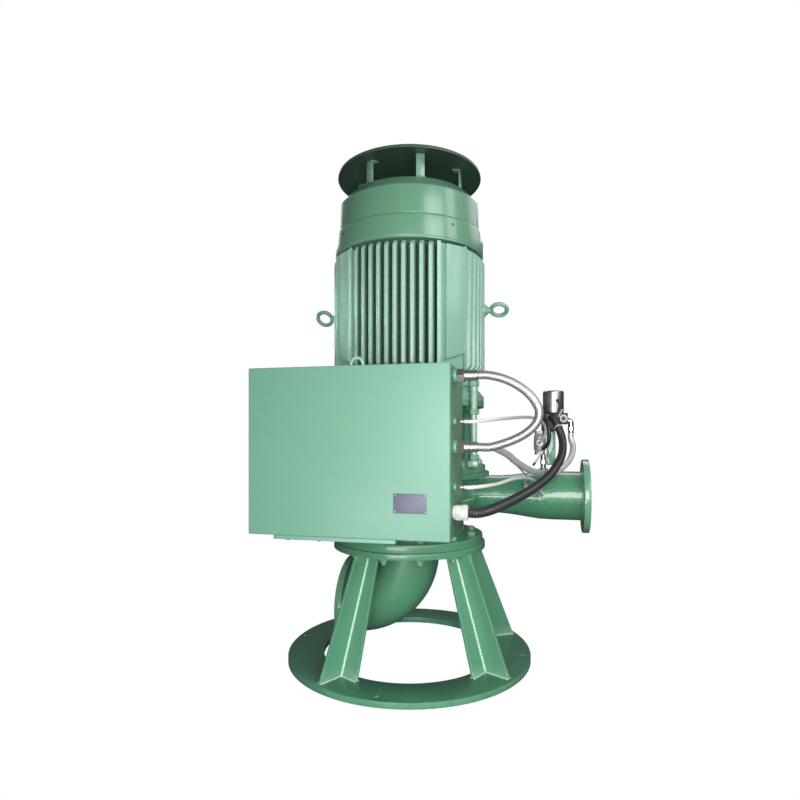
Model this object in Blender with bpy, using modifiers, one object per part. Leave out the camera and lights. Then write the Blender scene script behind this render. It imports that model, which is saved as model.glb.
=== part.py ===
"""A vertical self-priming pump on a round stand.

The stand is a floor ring, four tapered angle legs and a round plate. It
carries the pump casing, with a short elbow below it as the inlet and a
branch to the right as the outlet. Above the casing come the cover, the
stool with its two windows and the shaft coupling inside, and a finned
electric motor with a fan cowl and a rain cap. A sheet-metal box hangs in
front, and its hoses, tubes and cable run round to a valve on the outlet.

Metres, +Z up. Heights are above the floor, and X and Y are counted from
the pump's shaft: +X to the outlet flange, -Y to the box.
"""

import math

import bpy
import bmesh
from mathutils import Matrix, Vector

# Driving dimensions
GAP = 0.0003
SIDES = 56
LARGE_SIDES = 72

RING_OUTER = 0.450
RING_INNER = 0.320
RING_TOP = 0.020
ANCHOR_CIRCLE = 0.425
ANCHOR_HOLE = 0.009

LEG_TOP = 0.405
LEG_PLATE = 0.011
# A leg's section: its corner's radius from the shaft, its edge's radius and its other arm.
LEG_FOOT = (0.337, 0.437, 0.081)
LEG_HEAD = (0.210, 0.282, 0.054)
LEG_ANGLES = {
    "leg_front_left": (-119, 1),
    "leg_front_right": (-27.4, -1),
    "leg_back_right": (30, 1),
    "leg_back_left": (120, -1),
}

PLATE_RADIUS = 0.284
PLATE_TOP = 0.427
FOOT_FLANGE_RADIUS = 0.275
FOOT_FLANGE_TOP = 0.455

INLET_PIPE = 0.1135
INLET_BORE = 0.100
INLET_BEND = 0.203
INLET_HEIGHT = 0.181
INLET_FACE = -0.239
INLET_FLANGE_RADIUS = 0.170
INLET_BOLTS = (0.1475, 0.011)
FLANGE_THICK = 0.024

NECK_RADIUS = 0.205
VOLUTE_HEIGHT = 0.582
VOLUTE_BASE = 0.135
VOLUTE_SMALL = 0.034
VOLUTE_LARGE = 0.0765
BARREL_RADIUS = 0.245
BARREL_LOW, BARREL_TOP = 0.560, 0.640
NECK_TOP = 0.505
CASING_TOP_RADIUS = 0.262
CASING_TOP_LOW = 0.648

OUTLET_Y = 0.2126
OUTLET_FACE = 0.666
OUTLET_PIPE = 0.095
OUTLET_BORE = 0.075
OUTLET_BORE_END = 0.42
OUTLET_FLANGE_RADIUS = 0.1425
OUTLET_BOLTS = (0.120, 0.0115)
# The branch widens to the outlet: X and radius.
BRANCH_RADII = (
    (0.10, 0.0755), (0.22, 0.075), (0.33, 0.0755), (0.38, 0.080), (0.43, 0.087),
    (0.48, 0.0935), (0.53, OUTLET_PIPE), (OUTLET_FACE, OUTLET_PIPE),
)

COVER_LOW = 0.668
COVER_TOP = 0.685
COVER_RADIUS = 0.2995
SEAL_RADIUS = 0.095
SEAL_SHOULDER = 0.722
SEAL_NECK = 0.060
SEAL_TOP = 0.748

STOOL_BASE_TOP = 0.710
STOOL_BASE_RADIUS = 0.285
STOOL_RADIUS = 0.236
STOOL_INNER = 0.200
STOOL_SHELF = 0.921
STOOL_TOP = 0.940
MOTOR_FLANGE_RADIUS = 0.280
# Each rib between the stool's windows, from its middle to its edge, in degrees.
RIB_HALF = 16.3
WINDOW_START = 0.020
WINDOW_LOW = 0.735
WINDOW_TOP = 0.896
# The coupling from the motor down: radius and height.
COUPLING_STEPS = (
    (0.036, 0.896), (0.058, 0.896), (0.058, 0.871), (0.086, 0.871), (0.086, 0.831),
    (0.080, 0.831), (0.080, 0.821), (0.086, 0.821), (0.086, 0.781), (0.058, 0.781),
    (0.058, 0.759), (0.030, 0.759),
)

SHIELD_TOP = 1.033
SHIELD_RADIUS = 0.258
SHIELD_FLANGE_TOP = 0.960
SHIELD_FLARE_TOP = 0.985
FRAME_TOP = 1.474
FRAME_CORE = 0.242
FIN_RADIUS = 0.283
FIN_LOW = 1.045
FIN_HIGH = 1.466
FIN_PITCH = 0.029
FIN_GAP = 0.0105
FIN_GAP_ROOT = 0.176
GAPS_EACH_SIDE = 5
PAD_FLAT = 0.279
PAD_LEFT, PAD_RIGHT = -0.026, 0.0505
PAD_LOW = 1.087
RECESS_LEFT = -0.046
RECESS_FLOOR = 0.262
PAD_LAP = 0.0015
CUT_OUT = 0.35
CUT_PAST = 0.02

BAND_RADIUS = 0.277
BAND_TOP = 1.556
BAND_CHAMFER = 0.004
COWL_RADIUS = 0.269
COWL_SHOULDER = 1.654
COWL_TOP = 1.696
COWL_TOP_RADIUS = 0.230
GUARD_RADIUS = 0.168
GUARD_DEPTH = 0.012
CAP_RADIUS = 0.2686
CAP_RIM = 1.775
CAP_LIP = 0.010
CAP_RISE = 0.038
CAP_SHEET = 0.004
STRUT_ANGLES = (-66, -8, 54, 114, 176, 239)
STRUT_CIRCLE = 0.200
STRUT_HALF_THICK, STRUT_HALF_WIDE = 0.0025, 0.015

EYE_HEIGHT = 1.278
BOSS_END = 0.288
BOSS_RADIUS = 0.024
# The motor's lifting eyes: name, direction, the ring's distance from the shaft and its lean.
MOTOR_EYES = (("eyebolt_right", 0, 0.3365, 57), ("eyebolt_left", 180, 0.342, -42))
# An eye's ring radius, wire, shank radius, collar radius and collar length.
MOTOR_EYE = (0.0285, 0.0075, 0.0105, 0.0165, 0.009)
BOX_EYE = (0.0188, 0.0042, 0.0065, 0.0115, 0.004)
BOX_EYE_PLACE = (-0.072, -0.4065)
BOX_EYE_RISE = 0.0236
EYE_STEPS = 22

BOX_LEFT, BOX_RIGHT = -0.358, 0.245
BOX_FRONT, BOX_BACK = -0.560, -0.300
BOX_LOW, BOX_TOP = 0.527, 1.017
BOX_EDGE = 0.003
STRIP_LEFT, STRIP_RIGHT = -0.279, 0.091
STRIP_FRONT, STRIP_BACK = -0.556, -0.526
STRIP_HEIGHT = 0.012
BRACKET_PLATE = 0.008
BRACKET_HALF = 0.120
BRACKET_END = -0.246
PORT_Y = -0.500
BACK_PORT_Y = -0.400
THIN_PORT_Y = -0.355

# The model's origin is the middle of its base, so the shaft stands beside it.
AXIS_X = -(OUTLET_FACE - RING_OUTER) / 2
AXIS_Y = -(RING_OUTER + BOX_FRONT) / 2

for old in list(bpy.data.objects):
    bpy.data.objects.remove(old, do_unlink=True)

parts = bpy.data.collections.new("self_priming_pump")
cutters = bpy.data.collections.new("cutters")
for group in (parts, cutters):
    bpy.context.scene.collection.children.link(group)

shaft_axis = bpy.data.objects.new("shaft_axis", None)
shaft_axis.location = (AXIS_X, AXIS_Y, 0)
parts.objects.link(shaft_axis)


def paint(name, colour, roughness, metallic=0.0):
    finish = bpy.data.materials.new(name)
    finish.use_nodes = True
    shader = finish.node_tree.nodes["Principled BSDF"]
    shader.inputs["Base Color"].default_value = (*colour, 1.0)
    shader.inputs["Roughness"].default_value = roughness
    shader.inputs["Metallic"].default_value = metallic
    return finish


STAND_GREEN = paint("stand_green", (0.08, 0.25, 0.14), 0.35)
MOTOR_GREEN = paint("motor_green", (0.24, 0.50, 0.37), 0.40)
BOX_GREEN = paint("box_green", (0.34, 0.62, 0.48), 0.38)
BARE_STEEL = paint("bare_steel", (0.62, 0.62, 0.60), 0.30, 1.0)
DARK_STEEL = paint("dark_steel", (0.25, 0.25, 0.24), 0.45, 1.0)
BRAID = paint("steel_braid", (0.60, 0.61, 0.60), 0.42, 0.9)
CLEAR_TUBE = paint("pale_tube", (0.72, 0.74, 0.73), 0.35)
BLACK_PLASTIC = paint("black_plastic", (0.03, 0.03, 0.035), 0.45)
WHITE_PLASTIC = paint("white_plastic", (0.80, 0.81, 0.79), 0.40)


def show(name, mesh, finish):
    """A visible piece, placed from the shaft."""
    piece = bpy.data.objects.new(name, mesh)
    parts.objects.link(piece)
    piece.parent = shaft_axis
    mesh.materials.clear()
    mesh.materials.append(finish)
    return piece


def guide(name, mesh):
    """A helper shape that cuts a piece or is joined to one."""
    helper = bpy.data.objects.new(name, mesh)
    cutters.objects.link(helper)
    helper.parent = shaft_axis
    helper.hide_render = True
    helper.display_type = "WIRE"
    return helper


def combine(piece, helper, operation):
    step = piece.modifiers.new(f"{operation.lower()} {helper.name}", "BOOLEAN")
    step.operation = operation
    step.solver = "EXACT"
    step.object = helper


def round_edges(piece, width, segments=1, angle=40):
    step = piece.modifiers.new("edges", "BEVEL")
    step.width = width
    step.segments = segments
    step.limit_method = "ANGLE"
    step.angle_limit = math.radians(angle)


def finish_mesh(form, name):
    """The mesh of a bmesh, smooth where its faces nearly line up."""
    mesh = bpy.data.meshes.new(name)
    form.to_mesh(mesh)
    form.free()
    mesh.shade_smooth()
    mesh.set_sharp_from_angle(angle=math.radians(30))
    return mesh


def aim(direction):
    """The turn that points +Z along a direction."""
    return Vector(direction).to_track_quat("Z", "Y").to_matrix().to_4x4()


def rod(name, start, end, radius, sides=24):
    """A cylinder between two points."""
    start, end = Vector(start), Vector(end)
    form = bmesh.new()
    bmesh.ops.create_cone(
        form, cap_ends=True, segments=sides, radius1=radius, radius2=radius,
        depth=(end - start).length,
        matrix=Matrix.Translation((start + end) / 2) @ aim(end - start))
    return finish_mesh(form, name)


def disc(name, radius, low, high, x=0.0, y=0.0, sides=SIDES):
    return rod(name, (x, y, low), (x, y, high), radius, sides)


def block(name, low, high, turn=None):
    """A box between two corners, turned about the shaft when asked."""
    low, high = Vector(low), Vector(high)
    form = bmesh.new()
    bmesh.ops.create_cube(
        form, size=1.0,
        matrix=Matrix.Translation((low + high) / 2) @ Matrix.Diagonal((*(high - low), 1)))
    if turn is not None:
        bmesh.ops.rotate(form, verts=form.verts, cent=(0, 0, 0),
                         matrix=Matrix.Rotation(math.radians(turn), 3, "Z"))
    return finish_mesh(form, name)


def merged(name, meshes):
    """Several closed shapes that don't touch, as one helper mesh."""
    form = bmesh.new()
    for mesh in meshes:
        form.from_mesh(mesh)
        bpy.data.meshes.remove(mesh)
    return finish_mesh(form, name)


def lofted(name, lower, upper, low, high):
    """A straight-sided solid from one outline up to another."""
    form = bmesh.new()
    base = form.faces.new([form.verts.new((x, y, low)) for x, y in lower])
    corners = list(base.verts)
    raised = bmesh.ops.extrude_face_region(form, geom=[base], use_keep_orig=True)
    new = [item for item in raised["geom"] if isinstance(item, bmesh.types.BMVert)]
    for corner, (x, y) in zip(corners, upper):
        twin = next(vert for vert in new if (vert.co - corner.co).length < 1e-7)
        twin.co = (x, y, high)
        new.remove(twin)
    bmesh.ops.recalc_face_normals(form, faces=form.faces)
    return finish_mesh(form, name)


def profile(name, points, closed=False):
    """An outline in the XZ plane for turning."""
    form = bmesh.new()
    verts = [form.verts.new((radius, 0, height)) for radius, height in points]
    for first, second in zip(verts, verts[1:]):
        form.edges.new((first, second))
    if closed:
        form.edges.new((verts[-1], verts[0]))
    mesh = bpy.data.meshes.new(name)
    form.to_mesh(mesh)
    form.free()
    return mesh


def turn_round(piece, sides=SIDES):
    step = piece.modifiers.new("turn", "SCREW")
    step.axis = "Z"
    step.angle = math.tau
    step.steps = sides
    step.render_steps = sides
    step.use_merge_vertices = True
    step.merge_threshold = 0.00005
    step.use_smooth_shade = True


def turned(name, points, finish, closed=False, sides=SIDES):
    piece = show(name, profile(name, points, closed), finish)
    turn_round(piece, sides)
    return piece


def sheet_metal(name, outline, half_depth, matrix):
    """A flat outline with a thickness, as a welded mesh in its place."""
    curve = bpy.data.curves.new(name, "CURVE")
    curve.dimensions = "2D"
    curve.fill_mode = "BOTH"
    curve.extrude = half_depth
    spline = curve.splines.new("POLY")
    spline.points.add(len(outline) - 1)
    for point, (x, y) in zip(spline.points, outline):
        point.co = (x, y, 0, 1)
    spline.use_cyclic_u = True
    return solid_from_curve(name, curve, matrix)


def solid_from_curve(name, curve, matrix=Matrix.Identity(4)):
    """A closed mesh of a curve, with its caps welded on."""
    holder = bpy.data.objects.new(name, curve)
    bpy.context.scene.collection.objects.link(holder)
    depsgraph = bpy.context.evaluated_depsgraph_get()
    mesh = bpy.data.meshes.new_from_object(holder.evaluated_get(depsgraph))
    bpy.data.objects.remove(holder, do_unlink=True)
    form = bmesh.new()
    form.from_mesh(mesh)
    bpy.data.meshes.remove(mesh)
    bmesh.ops.remove_doubles(form, verts=form.verts, dist=0.00005)
    bmesh.ops.transform(form, matrix=matrix, verts=form.verts)
    bmesh.ops.recalc_face_normals(form, faces=form.faces)
    return finish_mesh(form, name)


def round_bar(name, points, radii, resolution, caps=True):
    """A curve with a round section, its radius given at each point."""
    curve = bpy.data.curves.new(name, "CURVE")
    curve.dimensions = "3D"
    curve.bevel_depth = 1.0
    curve.bevel_resolution = resolution
    curve.use_fill_caps = caps
    spline = curve.splines.new("POLY")
    spline.points.add(len(points) - 1)
    for point, place, radius in zip(spline.points, points, radii):
        point.co = (*place, 1)
        point.radius = radius
    return curve


def smooth_route(route, spacing):
    """Evenly spaced points on a smooth curve through a hand-made route."""
    knots = [Vector(point) for point in route]
    knots = [2 * knots[0] - knots[1]] + knots + [2 * knots[-1] - knots[-2]]
    fine = []
    for before, start, end, after in zip(knots, knots[1:], knots[2:], knots[3:]):
        for step in range(24):
            t = step / 24
            fine.append(0.5 * (2 * start + (end - before) * t
                               + (2 * before - 5 * start + 4 * end - after) * t ** 2
                               + (3 * start - before - 3 * end + after) * t ** 3))
    fine.append(knots[-2])
    length = sum((b - a).length for a, b in zip(fine, fine[1:]))
    count = max(2, round(length / spacing))
    points, walked, target = [fine[0]], 0.0, length / count
    for a, b in zip(fine, fine[1:]):
        piece = (b - a).length
        while walked + piece >= target and len(points) < count:
            points.append(a.lerp(b, (target - walked) / piece))
            target += length / count
        walked += piece
    points.append(fine[-1])
    return points


def polar(radius, degrees, height):
    angle = math.radians(degrees)
    return Vector((radius * math.cos(angle), radius * math.sin(angle), height))


def base_ring():
    ring = turned("base_ring", [
        (RING_OUTER, RING_TOP), (RING_OUTER, 0), (RING_INNER, 0), (RING_INNER, RING_TOP),
    ], STAND_GREEN, closed=True, sides=LARGE_SIDES)
    holes = []
    for quarter in range(4):
        centre = polar(ANCHOR_CIRCLE, 90 * quarter, 0)
        holes.append(disc("hole", ANCHOR_HOLE, -0.01, RING_TOP + 0.01, centre.x, centre.y, 12))
    combine(ring, guide("anchor_holes", merged("anchor_holes", holes)), "DIFFERENCE")


def leg(name, degrees, side):
    """An angle section whose two arms narrow and lean in towards the top."""
    def section(vertex, edge, arm):
        return [
            (vertex, 0), (edge, 0), (edge, side * LEG_PLATE),
            (vertex + LEG_PLATE, side * LEG_PLATE),
            (vertex + LEG_PLATE, side * arm), (vertex, side * arm),
        ]
    mesh = lofted(name, section(*LEG_FOOT), section(*LEG_HEAD), RING_TOP + GAP, LEG_TOP)
    piece = show(name, mesh, STAND_GREEN)
    piece.rotation_euler.z = math.radians(degrees)


def support_plate():
    hole = INLET_PIPE + GAP
    turned("support_plate", [
        (PLATE_RADIUS, PLATE_TOP), (PLATE_RADIUS, LEG_TOP + GAP),
        (hole, LEG_TOP + GAP), (hole, PLATE_TOP),
    ], STAND_GREEN, closed=True)


def inlet():
    """The elbow below the casing, and the flange on its end."""
    bend_top = INLET_HEIGHT + INLET_BEND
    path = [Vector((0, 0, PLATE_TOP)), Vector((0, 0, bend_top + 0.02))]
    for step in range(10):
        angle = math.radians(10 * step)
        path.append(Vector((-INLET_BEND * (1 - math.cos(angle)), 0,
                            bend_top - INLET_BEND * math.sin(angle))))
    path.append(Vector((INLET_FACE, 0, INLET_HEIGHT)))
    curve = round_bar("suction_elbow", path, [INLET_PIPE] * len(path), 6)
    elbow = show("suction_elbow", solid_from_curve("suction_elbow", curve), STAND_GREEN)
    reach = [path[0] + Vector((0, 0, 0.01))] + path[1:-1] + [path[-1] - Vector((0.01, 0, 0))]
    bore = round_bar("suction_bore", reach, [INLET_BORE] * len(reach), 6)
    combine(elbow, guide("suction_bore", solid_from_curve("suction_bore", bore)), "DIFFERENCE")
    pipe_flange("suction_flange", (INLET_FACE, 0, INLET_HEIGHT), (1, 0, 0),
                INLET_FLANGE_RADIUS, INLET_PIPE, INLET_BOLTS)


def pipe_flange(name, face, inward, radius, pipe, bolts):
    """A flat ring round a pipe's end, with eight bolt holes off the centre lines."""
    bolt_circle, hole = bolts
    piece = turned(name, [
        (radius, FLANGE_THICK), (radius, 0), (pipe + GAP, 0), (pipe + GAP, FLANGE_THICK),
    ], STAND_GREEN, closed=True)
    piece.location = face
    piece.rotation_euler = aim(inward).to_euler()
    holes = []
    for number in range(8):
        centre = polar(bolt_circle, 22.5 + 45 * number, 0)
        holes.append(disc("hole", hole, -0.01, FLANGE_THICK + 0.01, centre.x, centre.y, 12))
    drill = guide(f"{name}_holes", merged(f"{name}_holes", holes))
    drill.location = face
    drill.rotation_euler = piece.rotation_euler
    combine(piece, drill, "DIFFERENCE")


def volute_path():
    """Centres and radii of the spiral passage, on into the outlet branch."""
    points, radii = [], []
    for degrees in range(45, -271, -21):
        share = (45 - degrees) / 315
        radius = VOLUTE_SMALL + (VOLUTE_LARGE - VOLUTE_SMALL) * share
        reach = VOLUTE_BASE + radius + (OUTLET_Y - VOLUTE_BASE - VOLUTE_LARGE) * share
        points.append(polar(reach, degrees, VOLUTE_HEIGHT))
        radii.append(radius)
    for x, radius in BRANCH_RADII:
        points.append(Vector((x, OUTLET_Y, VOLUTE_HEIGHT)))
        radii.append(radius)
    return points, radii


def volute_casing():
    casing = turned("volute_casing", [
        (0, COVER_LOW - GAP), (CASING_TOP_RADIUS, COVER_LOW - GAP),
        (CASING_TOP_RADIUS, CASING_TOP_LOW), (BARREL_RADIUS, BARREL_TOP),
        (BARREL_RADIUS, BARREL_LOW), (NECK_RADIUS, NECK_TOP), (NECK_RADIUS, FOOT_FLANGE_TOP),
        (FOOT_FLANGE_RADIUS, FOOT_FLANGE_TOP), (FOOT_FLANGE_RADIUS, PLATE_TOP + GAP),
        (0, PLATE_TOP + GAP),
    ], STAND_GREEN)
    points, radii = volute_path()
    spiral = solid_from_curve("spiral", round_bar("spiral", points, radii, 6))
    combine(casing, guide("spiral", spiral), "UNION")
    bore = rod("outlet_bore", (OUTLET_BORE_END, OUTLET_Y, VOLUTE_HEIGHT),
               (OUTLET_FACE + 0.01, OUTLET_Y, VOLUTE_HEIGHT), OUTLET_BORE, 32)
    combine(casing, guide("outlet_bore", bore), "DIFFERENCE")
    pipe_flange("discharge_flange", (OUTLET_FACE, OUTLET_Y, VOLUTE_HEIGHT), (-1, 0, 0),
                OUTLET_FLANGE_RADIUS, OUTLET_PIPE, OUTLET_BOLTS)


def casing_cover():
    """The cover, cast in one with the seal housing in its middle."""
    turned("casing_cover", [
        (0, SEAL_TOP), (SEAL_NECK, SEAL_TOP), (SEAL_NECK, SEAL_SHOULDER),
        (SEAL_RADIUS, SEAL_SHOULDER), (SEAL_RADIUS, COVER_TOP),
        (COVER_RADIUS, COVER_TOP), (COVER_RADIUS, COVER_LOW), (0, COVER_LOW),
    ], STAND_GREEN)


def motor_stool():
    """A lantern between pump and motor, open at the front and the back, and the ring on it."""
    stool = turned("motor_stool", [
        (STOOL_RADIUS, WINDOW_TOP), (STOOL_RADIUS, STOOL_BASE_TOP),
        (STOOL_BASE_RADIUS, STOOL_BASE_TOP), (STOOL_BASE_RADIUS, COVER_TOP + GAP),
        (STOOL_INNER, COVER_TOP + GAP), (STOOL_INNER, WINDOW_TOP),
    ], STAND_GREEN, closed=True)
    windows = []
    slope = math.tan(math.radians(RIB_HALF))
    for side in (-1, 1):
        outline = [(side * x, side * y) for x, y in (
            (-WINDOW_START, WINDOW_START * slope), (-STOOL_BASE_RADIUS, STOOL_BASE_RADIUS * slope),
            (-STOOL_BASE_RADIUS, STOOL_BASE_RADIUS), (STOOL_BASE_RADIUS, STOOL_BASE_RADIUS),
            (STOOL_BASE_RADIUS, STOOL_BASE_RADIUS * slope), (WINDOW_START, WINDOW_START * slope))]
        windows.append(lofted("stool_window", outline, outline, WINDOW_LOW, STOOL_TOP))
    combine(stool, guide("stool_windows", merged("stool_windows", windows)), "DIFFERENCE")
    turned("stool_head", [
        (MOTOR_FLANGE_RADIUS, STOOL_TOP), (MOTOR_FLANGE_RADIUS, STOOL_SHELF),
        (STOOL_RADIUS, STOOL_SHELF), (STOOL_RADIUS, WINDOW_TOP + GAP),
        (STOOL_INNER, WINDOW_TOP + GAP), (STOOL_INNER, STOOL_TOP),
    ], STAND_GREEN, closed=True)


def shaft_coupling():
    """The two coupling halves on their shafts, between the seal and the motor."""
    turned("shaft_coupling", [
        (0, STOOL_TOP), (COUPLING_STEPS[0][0], STOOL_TOP), *COUPLING_STEPS,
        (COUPLING_STEPS[-1][0], SEAL_TOP + GAP), (0, SEAL_TOP + GAP),
    ], DARK_STEEL, sides=28)


def motor_end_shield():
    turned("motor_end_shield", [
        (0, SHIELD_TOP), (SHIELD_RADIUS, SHIELD_TOP), (SHIELD_RADIUS, SHIELD_FLARE_TOP),
        (MOTOR_FLANGE_RADIUS, SHIELD_FLANGE_TOP), (MOTOR_FLANGE_RADIUS, STOOL_TOP + GAP),
        (0, STOOL_TOP + GAP),
    ], MOTOR_GREEN)


def motor_frame():
    """The motor's ribbed body: straight fins in four groups between flat pads."""
    frame = show("motor_frame",
                 disc("motor_frame", FIN_RADIUS, FIN_LOW, FIN_HIGH, sides=LARGE_SIDES),
                 MOTOR_GREEN)
    gaps, pads, feet = [], [], []
    top = FIN_HIGH + CUT_PAST
    foot = FIN_LOW - CUT_PAST
    outline = [
        (RECESS_LEFT, -CUT_OUT), (PAD_RIGHT, -CUT_OUT), (PAD_RIGHT, -PAD_FLAT),
        (PAD_LEFT, -PAD_FLAT), (PAD_LEFT, -RECESS_FLOOR), (RECESS_LEFT, -RECESS_FLOOR),
    ]
    for side in range(4):
        corner = 90 * side + 45
        for number in range(-GAPS_EACH_SIDE, GAPS_EACH_SIDE + 1):
            middle = number * FIN_PITCH
            gaps.append(block("gap", (middle - FIN_GAP / 2, -CUT_OUT, foot),
                              (middle + FIN_GAP / 2, -FIN_GAP_ROOT, top), 90 * side))
        front = lofted("pad_front", outline, outline, PAD_LOW - PAD_LAP, top)
        front.transform(Matrix.Rotation(math.radians(corner), 4, "Z"))
        pads.append(front)
        feet.append(block("pad_foot", (RECESS_LEFT - PAD_LAP, -CUT_OUT, foot),
                          (PAD_RIGHT + PAD_LAP, -STOOL_INNER, PAD_LOW), corner))
    combine(frame, guide("fin_gaps", merged("fin_gaps", gaps)), "DIFFERENCE")
    combine(frame, guide("pad_fronts", merged("pad_fronts", pads)), "DIFFERENCE")
    combine(frame, guide("pad_feet", merged("pad_feet", feet)), "DIFFERENCE")
    core = disc("frame_core", FRAME_CORE, SHIELD_TOP + GAP, FRAME_TOP, sides=LARGE_SIDES)
    combine(frame, guide("frame_core", core), "UNION")
    for name, degrees, _, _ in MOTOR_EYES:
        boss = rod("boss", polar(STOOL_INNER, degrees, EYE_HEIGHT),
                   polar(BOSS_END, degrees, EYE_HEIGHT), BOSS_RADIUS, 16)
        combine(frame, guide(f"{name}_boss", boss), "UNION")


def fan_cowl():
    turned("cowl_band", [
        (0, BAND_TOP), (BAND_RADIUS - BAND_CHAMFER, BAND_TOP),
        (BAND_RADIUS, BAND_TOP - BAND_CHAMFER),
        (BAND_RADIUS, FRAME_TOP + GAP), (0, FRAME_TOP + GAP),
    ], MOTOR_GREEN)
    turned("fan_cowl", [
        (0, COWL_TOP - GUARD_DEPTH), (GUARD_RADIUS, COWL_TOP - GUARD_DEPTH),
        (GUARD_RADIUS, COWL_TOP), (COWL_TOP_RADIUS, COWL_TOP), (COWL_RADIUS, COWL_SHOULDER),
        (COWL_RADIUS, BAND_TOP + GAP), (0, BAND_TOP + GAP),
    ], MOTOR_GREEN)


def rain_cap():
    edge = CAP_RADIUS - CAP_SHEET
    turned("rain_cap", [
        (0, CAP_RIM + CAP_LIP + CAP_RISE), (CAP_RADIUS, CAP_RIM + CAP_LIP),
        (CAP_RADIUS, CAP_RIM), (edge, CAP_RIM), (edge, CAP_RIM + CAP_LIP - CAP_SHEET),
        (0, CAP_RIM + CAP_LIP + CAP_RISE - CAP_SHEET),
    ], STAND_GREEN)
    slope = CAP_RISE / CAP_RADIUS
    outer = STRUT_CIRCLE + STRUT_HALF_THICK
    under = CAP_RIM + CAP_LIP - CAP_SHEET + slope * (edge - outer)
    for number, degrees in enumerate(STRUT_ANGLES, 1):
        name = f"cap_strut_{number}"
        bar = block(name, (-STRUT_HALF_THICK, -STRUT_HALF_WIDE, COWL_TOP + GAP),
                    (STRUT_HALF_THICK, STRUT_HALF_WIDE, under - GAP))
        strut = show(name, bar, MOTOR_GREEN)
        strut.location = polar(STRUT_CIRCLE, degrees, 0)
        strut.rotation_euler.z = math.radians(degrees)


def eyebolt(name, foot, centre, across, sizes, finish):
    """A lifting ring on a shank, with a collar at its foot."""
    ring, wire, shank, collar_radius, collar_length = sizes
    way = (centre - foot).normalized()
    start = foot + GAP * way
    piece = show(name, rod(name, start, centre - ring * way, shank, 16), finish)
    collar = rod("collar", start, start + way * collar_length, collar_radius, 16)
    combine(piece, guide(f"{name}_collar", collar), "UNION")
    ring_points = []
    for step in range(EYE_STEPS):
        angle = math.tau * step / EYE_STEPS
        ring_points.append(centre + ring * (math.cos(angle) * way + math.sin(angle) * across))
    curve = round_bar(f"{name}_ring", ring_points, [wire] * EYE_STEPS, 2, caps=False)
    curve.splines[0].use_cyclic_u = True
    loop = solid_from_curve(f"{name}_ring", curve)
    combine(piece, guide(f"{name}_ring", loop), "UNION")


def lifting_eyes():
    """Two eyes at the motor's sides, each leaning over, and an upright one on the box."""
    for name, degrees, circle, lean in MOTOR_EYES:
        across = Matrix.Rotation(math.radians(lean), 3, polar(1, degrees, 0)) @ Vector((0, 0, 1))
        eyebolt(name, polar(BOSS_END, degrees, EYE_HEIGHT), polar(circle, degrees, EYE_HEIGHT),
                across, MOTOR_EYE, MOTOR_GREEN)
    eyebolt("eyebolt_box", Vector((*BOX_EYE_PLACE, BOX_TOP)),
            Vector((*BOX_EYE_PLACE, BOX_TOP + BOX_EYE_RISE)), Vector((1, 0, 0)), BOX_EYE,
            BOX_GREEN)


def control_box():
    box = show("control_box", block("control_box", (BOX_LEFT, BOX_FRONT, BOX_LOW),
                                    (BOX_RIGHT, BOX_BACK, BOX_TOP)), BOX_GREEN)
    round_edges(box, BOX_EDGE, 2)
    strip = block("box_bottom_strip", (STRIP_LEFT, STRIP_FRONT, BOX_LOW - STRIP_HEIGHT),
                  (STRIP_RIGHT, STRIP_BACK, BOX_LOW - GAP))
    show("box_bottom_strip", strip, BOX_GREEN)


def box_bracket(name, outer, way, arm):
    """A steel angle from the box's back to one of the stool's flanges.

    Its flat arm lies against the flange at the height outer, and its other
    arm runs up or down the box's back, as way says.
    """
    back = BOX_BACK + GAP
    inner = outer + way * BRACKET_PLATE
    outline = [
        (back, outer), (BRACKET_END, outer), (BRACKET_END, inner),
        (back + BRACKET_PLATE, inner), (back + BRACKET_PLATE, outer + way * arm),
        (back, outer + way * arm),
    ]
    stand_up = Matrix(((0, 0, 1, 0), (1, 0, 0, 0), (0, 1, 0, 0), (0, 0, 0, 1)))
    show(name, sheet_metal(name, outline, BRACKET_HALF, stand_up), STAND_GREEN)


def threaded(name, y, height, sizes, finish):
    """Round and six-sided steps out of the box's side, each radius, end and side count."""
    piece = None
    start = BOX_RIGHT + GAP
    for number, (radius, end, sides) in enumerate(sizes):
        step = rod(name, (start, y, height), (end, y, height), radius, sides)
        if piece is None:
            piece = show(name, step, finish)
        else:
            combine(piece, guide(f"{name}_{number}", step), "UNION")
        start = end - 0.002


HOSE_STEPS = [(0.0190, 0.256, 20), (0.0205, 0.277, 6), (0.0150, 0.314, 20)]
TUBE_STEPS = [(0.0110, 0.254, 16), (0.0105, 0.266, 6), (0.0075, 0.278, 16)]
BACK_STEPS = [(0.0165, 0.256, 20), (0.0175, 0.272, 6), (0.0130, 0.300, 20)]
THIN_STEPS = [(0.0080, 0.254, 16), (0.0080, 0.264, 6), (0.0050, 0.274, 16)]
GLAND_STEPS = [(0.0200, 0.252, 24), (0.0235, 0.268, 6), (0.0215, 0.288, 24)]

HOSE_END = HOSE_STEPS[-1][1]
TUBE_END = TUBE_STEPS[-1][1]
BACK_END = BACK_STEPS[-1][1]
THIN_END = THIN_STEPS[-1][1]
GLAND_END = GLAND_STEPS[-1][1]


# Each fitting on the box's side: its Y, its height and its steps.
FITTINGS = {
    "hose_fitting_top": (PORT_Y, 0.986, HOSE_STEPS),
    "tube_fitting_upper": (PORT_Y, 0.857, TUBE_STEPS),
    "hose_fitting_middle": (PORT_Y, 0.786, HOSE_STEPS),
    "hose_fitting_back": (BACK_PORT_Y, 0.784, BACK_STEPS),
    "tube_fitting_back": (THIN_PORT_Y, 0.775, THIN_STEPS),
    "tube_fitting_lower": (PORT_Y, 0.673, TUBE_STEPS),
}
GLAND_HEIGHT = 0.602


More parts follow.
